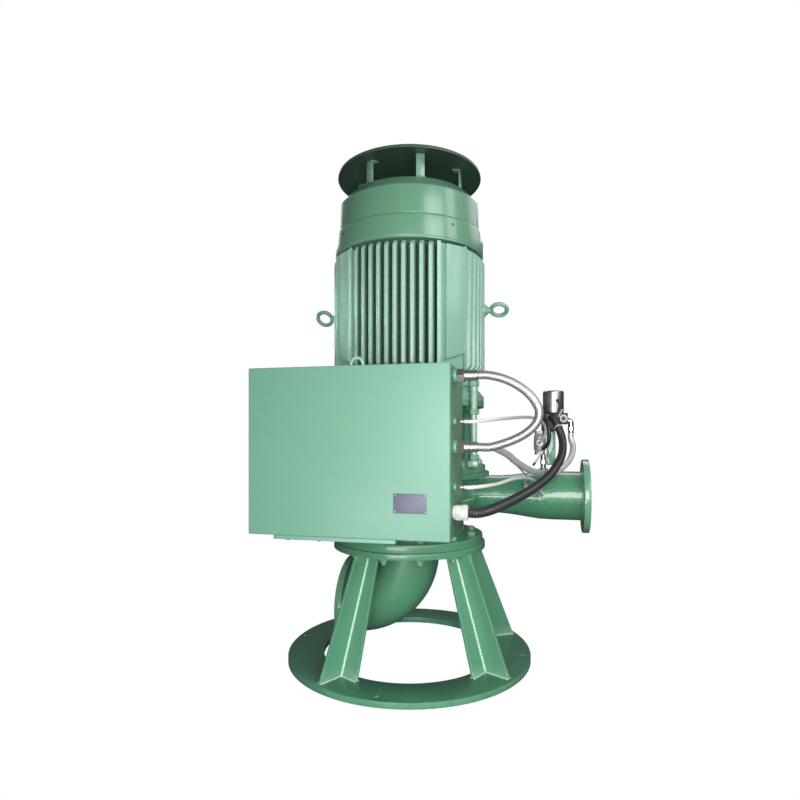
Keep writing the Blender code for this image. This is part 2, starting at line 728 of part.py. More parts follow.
def box_fittings():
    for name, (y, height, sizes) in FITTINGS.items():
        threaded(name, y, height, sizes, BARE_STEEL)
    threaded("cable_gland", PORT_Y, GLAND_HEIGHT, GLAND_STEPS, WHITE_PLASTIC)


# The valve on the outlet branch. Its housing has a port block on its right.
NIPPLE_X = 0.4956
NIPPLE_RADIUS = 0.0105
NIPPLE_FOOT = VOLUTE_HEIGHT + OUTLET_PIPE + 0.0005
NIPPLE_TOP = 0.742
NIPPLE_NUT_RADIUS = 0.0122
NIPPLE_NUT_LOW, NIPPLE_NUT_TOP = 0.706, 0.722
VALVE_LEFT, VALVE_RIGHT = 0.456, 0.508
VALVE_HALF = 0.027
VALVE_TOP = 0.836
VALVE_FRONT = OUTLET_Y - VALVE_HALF
VALVE_PLATE_END = 0.542
VALVE_PLATE_HALF = 0.020
VALVE_PLATE_LOW = 0.702
HOUSING_LEFT, HOUSING_RIGHT = 0.488, 0.5545
HOUSING_HALF = 0.036
HOUSING_TOP = 0.907
HOUSING_FRONT = OUTLET_Y - HOUSING_HALF
MOULDED_EDGE = 0.006
CYLINDER_X = 0.534
CYLINDER_RADIUS = 0.0403
CYLINDER_TOP = 0.994
PORT_BLOCK_RIGHT = 0.588
PORT_BLOCK_LOW, PORT_BLOCK_TOP = 0.862, 0.906
PORT_BLOCK_BACK = OUTLET_Y + 0.014
PORT_ELBOW_X = 0.600
PORT_ELBOW_Y = OUTLET_Y - 0.012
PORT_ELBOW_Z = 0.877
PORT_ELBOW_END = 0.828
PORT_ELBOW_RADIUS = 0.0115


def outlet_valve():
    """The valve and its actuator, standing on the outlet branch."""
    nipple = show("valve_nipple", disc("valve_nipple", NIPPLE_RADIUS, NIPPLE_FOOT, NIPPLE_TOP,
                                       NIPPLE_X, OUTLET_Y, 20), BARE_STEEL)
    collar = disc("nipple_nut", NIPPLE_NUT_RADIUS, NIPPLE_NUT_LOW, NIPPLE_NUT_TOP,
                  NIPPLE_X, OUTLET_Y, 6)
    combine(nipple, guide("nipple_nut", collar), "UNION")
    body = show("valve_body", block("valve_body", (VALVE_LEFT, VALVE_FRONT, NIPPLE_TOP + GAP),
                                    (VALVE_RIGHT, OUTLET_Y + VALVE_HALF, VALVE_TOP)), BARE_STEEL)
    round_edges(body, MOULDED_EDGE, 2)
    plate = show("valve_bracket", block(
        "valve_bracket", (VALVE_RIGHT + GAP, OUTLET_Y - VALVE_PLATE_HALF, VALVE_PLATE_LOW),
        (VALVE_PLATE_END, OUTLET_Y + VALVE_PLATE_HALF, VALVE_TOP)), STAND_GREEN)
    round_edges(plate, BOX_EDGE)
    housing = show("actuator_housing", block(
        "actuator_housing", (HOUSING_LEFT, HOUSING_FRONT, VALVE_TOP + GAP),
        (HOUSING_RIGHT, OUTLET_Y + HOUSING_HALF, HOUSING_TOP)), BLACK_PLASTIC)
    round_edges(housing, MOULDED_EDGE, 2)
    show("actuator_cylinder", disc("actuator_cylinder", CYLINDER_RADIUS, HOUSING_TOP + GAP,
                                   CYLINDER_TOP, CYLINDER_X, OUTLET_Y, 40), BARE_STEEL)
    port = show("actuator_port", block(
        "actuator_port", (HOUSING_RIGHT + GAP, HOUSING_FRONT, PORT_BLOCK_LOW),
        (PORT_BLOCK_RIGHT, PORT_BLOCK_BACK, PORT_BLOCK_TOP)), BLACK_PLASTIC)
    bend = Vector((PORT_ELBOW_X, PORT_ELBOW_Y, PORT_ELBOW_Z))
    across = rod("port_arm", (PORT_BLOCK_RIGHT - 0.004, PORT_ELBOW_Y, PORT_ELBOW_Z),
                 bend + Vector((PORT_ELBOW_RADIUS, 0, 0)), PORT_ELBOW_RADIUS, 16)
    combine(port, guide("port_arm", across), "UNION")
    down = rod("port_elbow", bend, (PORT_ELBOW_X, PORT_ELBOW_Y, PORT_ELBOW_END),
               PORT_ELBOW_RADIUS - 0.0005, 16)
    combine(port, guide("port_elbow", down), "UNION")


def branch_spot(x, branch_radius, degrees, stand_off):
    """A point off the front of the outlet branch, and the way out from it."""
    way = Vector((0, -math.cos(math.radians(degrees)), math.sin(math.radians(degrees))))
    return Vector((x, OUTLET_Y, VOLUTE_HEIGHT)) + way * (branch_radius + stand_off), way


TAPPING_RADIUS = 0.0085
TAPPING_NUT_RADIUS = 0.0115
TAPPING_NUT = (0.004, 0.013)
SENSING_FOOT, SENSING_WAY = branch_spot(0.486, 0.0942, 8, 0.0012)
SENSING_TIP = SENSING_FOOT + 0.026 * SENSING_WAY
DRAIN_FOOT, DRAIN_WAY = branch_spot(0.428, 0.0867, 28, 0.0022)
DRAIN_TIP = DRAIN_FOOT + 0.020 * DRAIN_WAY


def outlet_tappings():
    """Two small tappings on the front of the outlet branch."""
    nut_start, nut_end = TAPPING_NUT
    for name, foot, tip, way in (("sensing_tapping", SENSING_FOOT, SENSING_TIP, SENSING_WAY),
                                 ("drain_tapping", DRAIN_FOOT, DRAIN_TIP, DRAIN_WAY)):
        tapping = show(name, rod(name, foot, tip, TAPPING_RADIUS, 16), BARE_STEEL)
        nut = rod(f"{name}_nut", foot + way * nut_start, foot + way * nut_end,
                  TAPPING_NUT_RADIUS, 6)
        combine(tapping, guide(f"{name}_nut", nut), "UNION")


FLUSH_CIRCLE, FLUSH_ANGLE = 0.2975, -28.7
FLUSH_RADIUS = 0.0115
FLUSH_LOW, FLUSH_TOP = 0.726, 1.012
FLUSH_FOOT_TOP = 0.732
FLUSH_FOOT_HALF = 0.016
SPUR_HEIGHT = 1.000
SPUR_RADIUS = 0.0095


def flush_pipe():
    """A straight pipe beside the stool, turned in to the motor's end shield at its top."""
    place = polar(FLUSH_CIRCLE, FLUSH_ANGLE, 0)
    inward = polar(SHIELD_RADIUS + 0.0008, FLUSH_ANGLE, SPUR_HEIGHT)
    pipe = show("flush_pipe", disc("flush_pipe", FLUSH_RADIUS, FLUSH_LOW, FLUSH_TOP,
                                   place.x, place.y, 16), MOTOR_GREEN)
    foot = block("pipe_foot", (place.x - 0.02, place.y - FLUSH_FOOT_HALF, STOOL_BASE_TOP + GAP),
                 (place.x + FLUSH_FOOT_HALF, place.y + FLUSH_FOOT_HALF, FLUSH_FOOT_TOP))
    combine(pipe, guide("pipe_foot", foot), "UNION")
    spur = rod("pipe_spur", inward, (place.x, place.y, SPUR_HEIGHT), SPUR_RADIUS, 12)
    combine(pipe, guide("pipe_spur", spur), "UNION")


# Each route is chosen by hand: fitting to fitting, with the sag of a free hose.
LOOP_ROUTE = [
    (HOSE_END + GAP, PORT_Y, 0.986), (0.338, PORT_Y, 0.986), (0.372, -0.499, 0.979),
    (0.403, -0.498, 0.967), (0.434, -0.497, 0.948), (0.456, -0.497, 0.928),
    (0.471, -0.497, 0.907), (0.480, -0.497, 0.885), (0.477, -0.498, 0.861),
    (0.464, -0.498, 0.841), (0.443, -0.499, 0.823), (0.418, -0.499, 0.809),
    (0.388, PORT_Y, 0.797), (0.348, PORT_Y, 0.786), (HOSE_END + GAP, PORT_Y, 0.786),
]
AIR_ROUTE = [
    (TUBE_END + GAP, PORT_Y, 0.857), (0.305, PORT_Y, 0.857), (0.352, -0.440, 0.864),
    (0.400, -0.330, 0.872), (0.438, -0.200, 0.878), (0.468, -0.060, 0.878),
    (0.492, 0.030, 0.866), (0.503, 0.095, 0.838), (0.496, 0.135, 0.806),
    (0.480, 0.160, 0.790), (0.480, VALVE_FRONT - GAP, 0.790),
]
SENSING_ROUTE = [
    (TUBE_END + GAP, PORT_Y, 0.673), (0.298, PORT_Y, 0.673), (0.335, -0.462, 0.675),
    (0.365, -0.400, 0.677), (0.394, -0.330, 0.683), (0.420, -0.260, 0.684),
    (0.442, -0.180, 0.678), (0.462, -0.100, 0.664), (0.478, -0.020, 0.640),
    SENSING_TIP + 0.03 * SENSING_WAY, SENSING_TIP + GAP * SENSING_WAY,
]
RETURN_ROUTE = [
    (BACK_END + GAP, BACK_PORT_Y, 0.784), (0.326, BACK_PORT_Y, 0.784), (0.350, -0.375, 0.781),
    (0.385, -0.285, 0.757), (0.407, -0.230, 0.734), (0.453, -0.120, 0.699),
    (0.510, 0.000, 0.681), (0.545, 0.060, 0.687), (0.569, 0.100, 0.702),
    (0.592, 0.140, 0.726), (0.605, 0.172, 0.755), (0.607, 0.192, 0.780),
    (PORT_ELBOW_X, PORT_ELBOW_Y, 0.806), (PORT_ELBOW_X, PORT_ELBOW_Y, PORT_ELBOW_END - GAP),
]
DRAIN_ROUTE = [
    (THIN_END + GAP, THIN_PORT_Y, 0.775), (0.296, THIN_PORT_Y, 0.775), (0.351, -0.300, 0.774),
    (0.377, -0.245, 0.754), (0.401, -0.180, 0.726), (0.431, -0.090, 0.686),
    (0.439, -0.040, 0.671), (0.435, 0.030, 0.653),
    DRAIN_TIP + 0.03 * DRAIN_WAY, DRAIN_TIP + GAP * DRAIN_WAY,
]
CONDUIT_ROUTE = [
    (GLAND_END + GAP, PORT_Y, GLAND_HEIGHT), (0.314, PORT_Y, GLAND_HEIGHT), (0.345, -0.480, 0.608),
    (0.374, -0.440, 0.617), (0.404, -0.385, 0.627), (0.433, -0.325, 0.638),
    (0.457, -0.275, 0.649), (0.477, -0.230, 0.660), (0.497, -0.180, 0.672),
    (0.518, -0.125, 0.689), (0.534, -0.080, 0.707), (0.548, -0.035, 0.727),
    (0.558, 0.005, 0.748), (0.563, 0.040, 0.770), (0.564, 0.070, 0.793),
    (0.560, 0.097, 0.820), (0.551, 0.119, 0.848), (0.540, 0.136, 0.874),
    (0.530, 0.155, 0.890), (0.530, HOUSING_FRONT - GAP, 0.890),
]
LINK_ROUTE = [
    (0.497, HOUSING_FRONT - GAP, 0.894), (0.497, 0.160, 0.894), (0.504, 0.144, 0.874),
    (0.514, 0.135, 0.850), (0.518, 0.134, 0.820), (0.512, 0.140, 0.788),
    (0.497, 0.162, 0.768), (0.497, VALVE_FRONT - GAP, 0.768),
]


def hose(name, route, radius, finish, spacing):
    """A tube along its route, with a point every few diameters and square ends."""
    points = smooth_route(route, spacing * 2 * radius)
    for end, near, aimed in ((0, 1, 1), (-1, -2, -2)):
        way = (Vector(route[aimed]) - Vector(route[end])).normalized()
        points[near] = points[end] + way * (points[near] - points[end]).dot(way)
    curve = round_bar(name, points, [radius] * len(points), 2)
    tube = bpy.data.objects.new(name, curve)
    parts.objects.link(tube)
    tube.parent = shaft_axis
    curve.materials.append(finish)


def hoses():
    hose("loop_hose", LOOP_ROUTE, 0.0120, BRAID, 1.2)
    hose("return_hose", RETURN_ROUTE, 0.0110, BRAID, 2)
    hose("cable_conduit", CONDUIT_ROUTE, 0.0145, BLACK_PLASTIC, 1.4)
    hose("link_hose", LINK_ROUTE, 0.0070, BLACK_PLASTIC, 1.2)
    hose("air_tube", AIR_ROUTE, 0.0050, CLEAR_TUBE, 3)
    hose("sensing_tube", SENSING_ROUTE, 0.0055, CLEAR_TUBE, 3)
    hose("drain_tube", DRAIN_ROUTE, 0.0030, CLEAR_TUBE, 4)


base_ring()
for leg_name, (leg_degrees, leg_side) in LEG_ANGLES.items():
    leg(leg_name, leg_degrees, leg_side)
support_plate()
inlet()
volute_casing()
casing_cover()
motor_stool()
shaft_coupling()
motor_end_shield()
motor_frame()
fan_cowl()
rain_cap()
lifting_eyes()
control_box()
box_bracket("box_bracket_upper", STOOL_SHELF - GAP, -1, 0.059)
box_bracket("box_bracket_lower", STOOL_BASE_TOP + GAP, 1, 0.062)
box_fittings()
outlet_valve()
outlet_tappings()
flush_pipe()
hoses()
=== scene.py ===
# %% [markdown]
# # A vertical pump, from the floor ring to the rain cap
#
# The plain model gives every size and place. This lesson dresses it: each
# solid is replaced by a finer mesh of the same size, and each surface gets
# a finish made of shader nodes. All lengths are in metres, +Z is up, and
# most coordinates are counted from the pump's shaft.

# %% Load the plain model
import math
import random

import bmesh
import bpy
from mathutils import Matrix, Vector


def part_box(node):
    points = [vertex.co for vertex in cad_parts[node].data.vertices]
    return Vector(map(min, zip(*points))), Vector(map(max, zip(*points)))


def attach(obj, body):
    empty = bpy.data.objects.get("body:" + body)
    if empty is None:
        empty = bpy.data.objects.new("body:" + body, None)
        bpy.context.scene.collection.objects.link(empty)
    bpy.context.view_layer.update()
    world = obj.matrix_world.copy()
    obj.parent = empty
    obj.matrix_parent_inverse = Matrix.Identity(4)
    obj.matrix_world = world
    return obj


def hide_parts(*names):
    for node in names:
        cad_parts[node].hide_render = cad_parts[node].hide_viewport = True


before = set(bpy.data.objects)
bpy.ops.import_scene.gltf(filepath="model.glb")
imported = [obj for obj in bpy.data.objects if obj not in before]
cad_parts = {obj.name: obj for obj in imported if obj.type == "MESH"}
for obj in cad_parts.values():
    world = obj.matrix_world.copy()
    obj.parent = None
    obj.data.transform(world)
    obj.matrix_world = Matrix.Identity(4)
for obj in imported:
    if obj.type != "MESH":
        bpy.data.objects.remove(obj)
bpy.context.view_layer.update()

random.seed(7)
band_low, band_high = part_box("cowl_band")
SHAFT = Vector(((band_low.x + band_high.x) / 2, (band_low.y + band_high.y) / 2, 0))
print(f"{len(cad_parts)} plain solids, shaft at {SHAFT.x:.3f}, {SHAFT.y:.3f}")

# %% [markdown]
# The camera comes first. The photo was taken level, about two metres in
# front of the shaft and a little to its right, with the sensor shifted so
# that upright edges stay upright.

# %% Camera
scene = bpy.context.scene
CAMERA_PLACE = Vector((0.481, -2.034, 0.818))
CAMERA_TURN = math.radians(13.3)
camera = bpy.data.objects.new("camera", bpy.data.cameras.new("camera"))
scene.collection.objects.link(camera)
camera.location = SHAFT + CAMERA_PLACE
camera.rotation_euler = (math.radians(90), 0, CAMERA_TURN)
camera.data.lens = 24.75
camera.data.sensor_width = 36
camera.data.shift_x = -0.0119
camera.data.shift_y = 0.0444
scene.camera = camera
print("camera", tuple(round(v, 3) for v in camera.location))

# %% [markdown]
# A few helpers carry most of the work. `reach` reads a solid's corners from
# the plain model, so a piece stays where its solid is. `polar` places
# things round the shaft, and `aim` stands a shape up along any direction.

# %% Places and directions
def reach(node):
    """A solid's lowest and highest corners, counted from the shaft."""
    low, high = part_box(node)
    return low - SHAFT, high - SHAFT


def polar(radius, degrees, height=0.0):
    angle = math.radians(degrees)
    return Vector((radius * math.cos(angle), radius * math.sin(angle), height))


def aim(direction, place=(0, 0, 0)):
    """The matrix that stands something made along +Z at a place, along a direction."""
    turn = Vector(direction).to_track_quat("Z", "Y").to_matrix().to_4x4()
    return Matrix.Translation(place) @ turn


def spin(degrees):
    return Matrix.Rotation(math.radians(degrees), 4, "Z")


def move(x=0.0, y=0.0, z=0.0):
    return Matrix.Translation((x, y, z))


# %% [markdown]
# Most of this machine is turned on a lathe. A turned part is drawn as half
# of its outline and spun about an axis. No machined or cast corner is
# truly sharp, so each corner of the outline may name a rounding, and a
# small curve takes its place before the outline is spun.

# %% Turned shapes
def softened(points, closed=False, steps=3):
    """An outline with its corners rounded: a point is (radius, height) or (radius, height, rounding)."""
    flat = [Vector(point[:2]) for point in points]
    outline = []
    for number, point in enumerate(points):
        here = flat[number]
        at_end = not closed and number in (0, len(points) - 1)
        if len(point) < 3 or at_end:
            outline.append(here)
            continue
        before = flat[number - 1] - here
        after = flat[(number + 1) % len(flat)] - here
        cut = min(point[2], 0.48 * before.length, 0.48 * after.length)
        start, end = here + before.normalized() * cut, here + after.normalized() * cut
        for step in range(steps + 1):
            t = step / steps
            outline.append((1 - t) ** 2 * start + 2 * t * (1 - t) * here + t * t * end)
    return outline


def finished(form, matrix=None):
    """A bmesh as mesh data, its faces pointing out."""
    if matrix is not None:
        bmesh.ops.transform(form, matrix=matrix, verts=form.verts)
    bmesh.ops.recalc_face_normals(form, faces=form.faces)
    mesh = bpy.data.meshes.new("shape")
    form.to_mesh(mesh)
    form.free()
    return mesh


def turned(points, sides=96, closed=False, matrix=None):
    form = bmesh.new()
    verts = [form.verts.new((radius, 0, height)) for radius, height in softened(points, closed)]
    edges = [form.edges.new(pair) for pair in zip(verts, verts[1:])]
    if closed:
        edges.append(form.edges.new((verts[-1], verts[0])))
    bmesh.ops.spin(form, geom=verts + edges, axis=(0, 0, 1), cent=(0, 0, 0),
                   angle=math.tau, steps=sides, use_merge=True)
    bmesh.ops.remove_doubles(form, verts=form.verts, dist=1e-6)
    return finished(form, matrix)


# %% [markdown]
# Pipes, hoses, lifting rings and weld beads are all a round section carried
# along a line. Each ring of points is turned only as much as the line
# bends, so the surface never twists. The distances round and along are kept
# as a texture map, which the woven hoses need later.

# %% Round bars along a line
def carried(points, radius, sides=20, closed=False, squash=1.0):
    """A tube through points. The radius is one number or one for each point."""
    form = bmesh.new()
    weave = form.loops.layers.uv.new("weave")
    points = [Vector(point) for point in points]
    radii = list(radius) if hasattr(radius, "__len__") else [radius] * len(points)
    count = len(points)
    rings, along, travelled = [], [], 0.0
    side = None
    for number, place in enumerate(points):
        before = points[number - 1] if number or closed else place
        after = points[(number + 1) % count] if number < count - 1 or closed else place
        way = (after - before).normalized()
        side = way.orthogonal() if side is None else side - way * side.dot(way)
        side.normalize()
        up = way.cross(side)
        ring = []
        for step in range(sides):
            angle = math.tau * step / sides
            offset = math.cos(angle) * side + squash * math.sin(angle) * up
            ring.append(form.verts.new(place + radii[number] * offset))
        travelled += (place - points[number - 1]).length if number else 0
        rings.append(ring)
        along.append(travelled)
    if closed:
        rings.append(rings[0])
        along.append(travelled + (points[0] - points[-1]).length)
    for number in range(len(rings) - 1):
        low, high = rings[number], rings[number + 1]
        for step in range(sides):
            after = (step + 1) % sides
            face = form.faces.new((low[step], low[after], high[after], high[step]))
            rounds = (step / sides, (step + 1) / sides)
            spots = ((rounds[0], along[number]), (rounds[1], along[number]),
                     (rounds[1], along[number + 1]), (rounds[0], along[number + 1]))
            for loop, spot in zip(face.loops, spots):
                loop[weave].uv = spot
    if not closed:
        form.faces.new(rings[0])
        form.faces.new(rings[-1])
    return finished(form)


def smooth_route(route, spacing):
    """Evenly spaced points on a smooth curve through a route."""
    knots = [Vector(point) for point in route]
    knots = [2 * knots[0] - knots[1]] + knots + [2 * knots[-1] - knots[-2]]
    fine = []
    for before, start, end, after in zip(knots, knots[1:], knots[2:], knots[3:]):
        for step in range(24):
            t = step / 24
            fine.append(0.5 * (2 * start + (end - before) * t
                               + (2 * before - 5 * start + 4 * end - after) * t ** 2
                               + (3 * start - before - 3 * end + after) * t ** 3))
    fine.append(knots[-2])
    length = sum((b - a).length for a, b in zip(fine, fine[1:]))
    count = max(2, round(length / spacing))
    points, walked, target = [fine[0]], 0.0, length / count
    for a, b in zip(fine, fine[1:]):
        piece = (b - a).length
        while walked + piece >= target and len(points) < count:
            points.append(a.lerp(b, (target - walked) / piece))
            target += length / count
        walked += piece
    return points + [fine[-1]]


# %% [markdown]
# Plates, housings and lugs start as a block or a flat outline. Their edges
# are then bevelled in code, because a bevelled edge is what catches the
# light on painted metal.

# %% Blocks, plates and lofts
def eased(mesh, width, segments=2, angle=40):
    """The mesh with its sharp edges rounded."""
    form = bmesh.new()
    form.from_mesh(mesh)
    bpy.data.meshes.remove(mesh)
    limit = math.radians(angle)
    edges = [edge for edge in form.edges
             if edge.is_manifold and edge.calc_face_angle(0) > limit]
    bmesh.ops.bevel(form, geom=edges, offset=width, segments=segments, profile=0.5,
                    affect="EDGES", clamp_overlap=True)
    return finished(form)


def block(low, high, rounding=0.0, segments=2, matrix=None):
    low, high = Vector(low), Vector(high)
    form = bmesh.new()
    bmesh.ops.create_cube(form, size=1, matrix=Matrix.Translation((low + high) / 2)
                          @ Matrix.Diagonal((*(high - low), 1)))
    if rounding:
        bmesh.ops.bevel(form, geom=form.edges[:], offset=rounding, segments=segments,
                        profile=0.5, affect="EDGES", clamp_overlap=True)
    return finished(form, matrix)


def lofted(sections):
    """A solid through outlines of as many points each, capped at both ends."""
    form = bmesh.new()
    rings = [[form.verts.new(point) for point in section] for section in sections]
    for low, high in zip(rings, rings[1:]):
        for step in range(len(low)):
            after = (step + 1) % len(low)
            form.faces.new((low[step], low[after], high[after], high[step]))
    form.faces.new(rings[0])
    form.faces.new(rings[-1])
    return finished(form)


def slab(outline, low, high, matrix=None):
    """A flat outline in X and Y, raised from one height to another."""
    mesh = lofted([[(x, y, low) for x, y in outline], [(x, y, high) for x, y in outline]])
    if matrix is not None:
        mesh.transform(matrix)
    return mesh


# %% [markdown]
# Holes and windows are cut with the Boolean modifier, and a rough casting is
# made by fusing overlapping shapes with a voxel remesh and smoothing the
# result, much as sand blurs the corners of a real casting. Both are applied
# at once, so what is left is plain mesh data.

# %% Cutting and fusing
def applied(mesh, *changes):
    """The mesh after modifiers, each given as (kind, settings)."""
    holder = bpy.data.objects.new("holder", mesh)
    scene.collection.objects.link(holder)
    for kind, settings in changes:
        step = holder.modifiers.new(kind.lower(), kind)
        for name, value in settings.items():
            setattr(step, name, value)
    depsgraph = bpy.context.evaluated_depsgraph_get()
    result = bpy.data.meshes.new_from_object(holder.evaluated_get(depsgraph))
    bpy.data.objects.remove(holder, do_unlink=True)
    bpy.data.meshes.remove(mesh)
    return result


def carved(mesh, cutter, solver="EXACT"):
    tool = bpy.data.objects.new("tool", cutter)
    scene.collection.objects.link(tool)
    result = applied(mesh, ("BOOLEAN", {"operation": "DIFFERENCE", "solver": solver,
                                        "object": tool}))
    bpy.data.objects.remove(tool, do_unlink=True)
    bpy.data.meshes.remove(cutter)
    return result


def together(*items):
    """One mesh of many: each item is a mesh, or (mesh, matrix, matrix, ...) for copies."""
    form = bmesh.new()
    for item in items:
        mesh, *places = item if isinstance(item, tuple) else (item,)
        for matrix in places or [Matrix.Identity(4)]:
            first = len(form.verts)
            form.from_mesh(mesh)
            form.verts.ensure_lookup_table()
            bmesh.ops.transform(form, matrix=matrix, verts=form.verts[first:])
        bpy.data.meshes.remove(mesh)
    mesh = bpy.data.meshes.new("group")
    form.to_mesh(mesh)
    form.free()
    return mesh


# %% [markdown]
# ## Finishes
#
# Each effect that several finishes share is a node group of its own, with
# named inputs and outputs. `add` makes a node and fills its inputs, and
# `calc` is a single sum or product. The textures read object coordinates,
# which here are metres from the shaft, so a grain has the same real size
# on every piece.

# %% Node helpers
def add(tree, kind, inputs=None, **settings):
    made = tree.nodes.new(kind)
    for name, value in settings.items():
        setattr(made, name, value)
    for name, value in (inputs or {}).items():
        socket = made.inputs[name]
        if isinstance(value, bpy.types.NodeSocket):
            tree.links.new(value, socket)
        else:
            socket.default_value = value
    return made


def calc(tree, operation, first, second=0.0, third=0.0):
    made = add(tree, "ShaderNodeMath", {0: first, 1: second, 2: third}, operation=operation)
    return made.outputs[0]


def ranged(tree, value, low, high, new_low, new_high):
    made = add(tree, "ShaderNodeMapRange", {
        "Value": value, "From Min": low, "From Max": high, "To Min": new_low, "To Max": new_high})
    return made.outputs[0]


def mixed(tree, share, first, second, mode="MIX"):
    made = add(tree, "ShaderNodeMix", {0: share, 6: first, 7: second},
               data_type="RGBA", blend_type=mode)
    return made.outputs[2]


def noise(tree, place, scale, detail=2.0, roughness=0.5):
    made = add(tree, "ShaderNodeTexNoise", {
        "Vector": place, "Scale": scale, "Detail": detail, "Roughness": roughness})
    return made.outputs[0]


def new_group(name, inputs, outputs):
    """A node group with its sockets, each given as name: (kind, value)."""
    tree = bpy.data.node_groups.new(name, "ShaderNodeTree")
    for label, (kind, value) in inputs.items():
        socket = tree.interface.new_socket(label, in_out="INPUT", socket_type=f"NodeSocket{kind}")
        socket.default_value = value
    for label, kind in outputs.items():
        tree.interface.new_socket(label, in_out="OUTPUT", socket_type=f"NodeSocket{kind}")
    source = tree.nodes.new("NodeGroupInput").outputs
    sink = tree.nodes.new("NodeGroupOutput").inputs
    return tree, source, sink


def object_place(tree):
    return add(tree, "ShaderNodeTexCoord").outputs["Object"]


# %% [markdown]
# Sprayed enamel is never one flat colour. It has a slow drift of shade
# where coats overlap, and a fine orange peel in its gloss. One group makes
# both, and gives the colour, the roughness and a height for the bump.

# %% Group: sprayed enamel
def build_enamel_group():
    tree, source, sink = new_group("sprayed enamel", {
        "Colour": ("Color", (0.2, 0.5, 0.35, 1)),
        "Drift": ("Float", 0.10),
        "Gloss roughness": ("Float", 0.35),
        "Peel size": ("Float", 260.0),
    }, {"Colour": "Color", "Roughness": "Float", "Height": "Float"})
    place = object_place(tree)
    broad = noise(tree, place, 3.5, 3.0, 0.6)
    fine = noise(tree, place, 55.0, 2.0, 0.5)
    swing = calc(tree, "ADD", calc(tree, "MULTIPLY", broad, 0.75), calc(tree, "MULTIPLY", fine, 0.25))
    shade = calc(tree, "MULTIPLY_ADD", calc(tree, "SUBTRACT", swing, 0.5),
                 calc(tree, "MULTIPLY", source["Drift"], 2.0), 1.0)
    scaled = add(tree, "ShaderNodeVectorMath", {0: source["Colour"], "Scale": shade},
                 operation="SCALE")
    tree.links.new(scaled.outputs[0], sink["Colour"])
    peel = noise(tree, place, source["Peel size"], 2.0, 0.45)
    wander = calc(tree, "MULTIPLY", calc(tree, "SUBTRACT", broad, 0.5), 0.18)
    tree.links.new(calc(tree, "ADD", source["Gloss roughness"], wander), sink["Roughness"])
    tree.links.new(peel, sink["Height"])
    return tree


ENAMEL = build_enamel_group()
print("group", ENAMEL.name, [item.name for item in ENAMEL.interface.items_tree])

# %% [markdown]
# Cast iron keeps the grain of its sand mould under the paint: broad lumps
# about a centimetre across and small pits between them. The group mixes two
# noises with a cell pattern into one height.

# %% Group: sand-cast grain
def build_cast_group():
    tree, source, sink = new_group("sand-cast grain", {
        "Size": ("Float", 1.0), "Pits": ("Float", 0.5)}, {"Height": "Float"})
    place = add(tree, "ShaderNodeVectorMath", {0: object_place(tree), "Scale": source["Size"]},
                operation="SCALE").outputs[0]
    lumps = noise(tree, place, 60.0, 3.0, 0.55)
    sand = noise(tree, place, 260.0, 3.0, 0.6)
    cells = add(tree, "ShaderNodeTexVoronoi", {"Vector": place, "Scale": 150.0},
                feature="SMOOTH_F1").outputs["Distance"]
    grain = calc(tree, "ADD", calc(tree, "MULTIPLY", lumps, 0.7), calc(tree, "MULTIPLY", sand, 0.3))
    pitted = calc(tree, "MULTIPLY_ADD", cells, source["Pits"], grain)
    tree.links.new(pitted, sink["Height"])
    return tree


CAST = build_cast_group()
print("group", CAST.name)

# %% [markdown]
# Edges lose paint, and the lightened colour along them also stands in for
# light: a painted highlight. Upward faces gather dust; on the floor ring the
# same mask paints shade, darkening its top. The edge mask comes from how
# sharply the surface bends at a point, broken up by noise. The dust mask
# comes from how far the surface faces up. A third mask grows towards the
# motor's core and paints shade into the grooves between its fins and inside
# the stool's drum.

# %% Groups: edge wear and highlight, dust and top shade, painted core shade
def build_edge_group():
    tree, source, sink = new_group("edge wear and highlight", {
        "Threshold": ("Float", 0.53), "Softness": ("Float", 0.04)}, {"Mask": "Float"})
    bend = add(tree, "ShaderNodeNewGeometry").outputs["Pointiness"]
    broken = noise(tree, object_place(tree), 90.0, 3.0, 0.6)
    top = calc(tree, "ADD", source["Threshold"], source["Softness"])
    edge = add(tree, "ShaderNodeMapRange", {
        "Value": bend, "From Min": source["Threshold"], "From Max": top})
    worn_and_lit = calc(tree, "MULTIPLY", edge.outputs[0], ranged(tree, broken, 0.35, 0.6, 0.25, 1.0))
    tree.links.new(worn_and_lit, sink["Mask"])
    return tree


def build_dust_and_top_shade_group():
    tree, source, sink = new_group("settled dust and top shade", {
        "Amount": ("Float", 0.2), "Patchiness": ("Float", 1.0)}, {"Mask": "Float"})
    facing = add(tree, "ShaderNodeNewGeometry").outputs["Normal"]
    upward = add(tree, "ShaderNodeSeparateXYZ", {0: facing}).outputs["Z"]
    patches = ranged(tree, noise(tree, object_place(tree), 9.0, 5.0, 0.65), 0.3, 0.7, 0.2, 1.0)
    cover = calc(tree, "MULTIPLY_ADD", calc(tree, "SUBTRACT", patches, 1.0), source["Patchiness"], 1.0)
    top_dust_and_shade = calc(tree, "MULTIPLY", ranged(tree, upward, 0.5, 1.0, 0.0, 1.0), cover)
    tree.links.new(calc(tree, "MULTIPLY", top_dust_and_shade, source["Amount"]), sink["Mask"])
    return tree


# Painted shade: a mask that is full inside the Floor radius and fades out at the Rim.
def build_core_shade_group():
    tree, source, sink = new_group("painted shade near the core", {
        "Floor": ("Float", 0.250), "Rim": ("Float", 0.279)}, {"Mask": "Float"})
    parts = add(tree, "ShaderNodeSeparateXYZ", {0: object_place(tree)}).outputs
    flat = add(tree, "ShaderNodeCombineXYZ", {"X": parts["X"], "Y": parts["Y"]}).outputs[0]
    radius = add(tree, "ShaderNodeVectorMath", {0: flat}, operation="LENGTH").outputs["Value"]
    tree.links.new(ranged(tree, radius, source["Floor"], source["Rim"], 1.0, 0.0), sink["Mask"])
    return tree


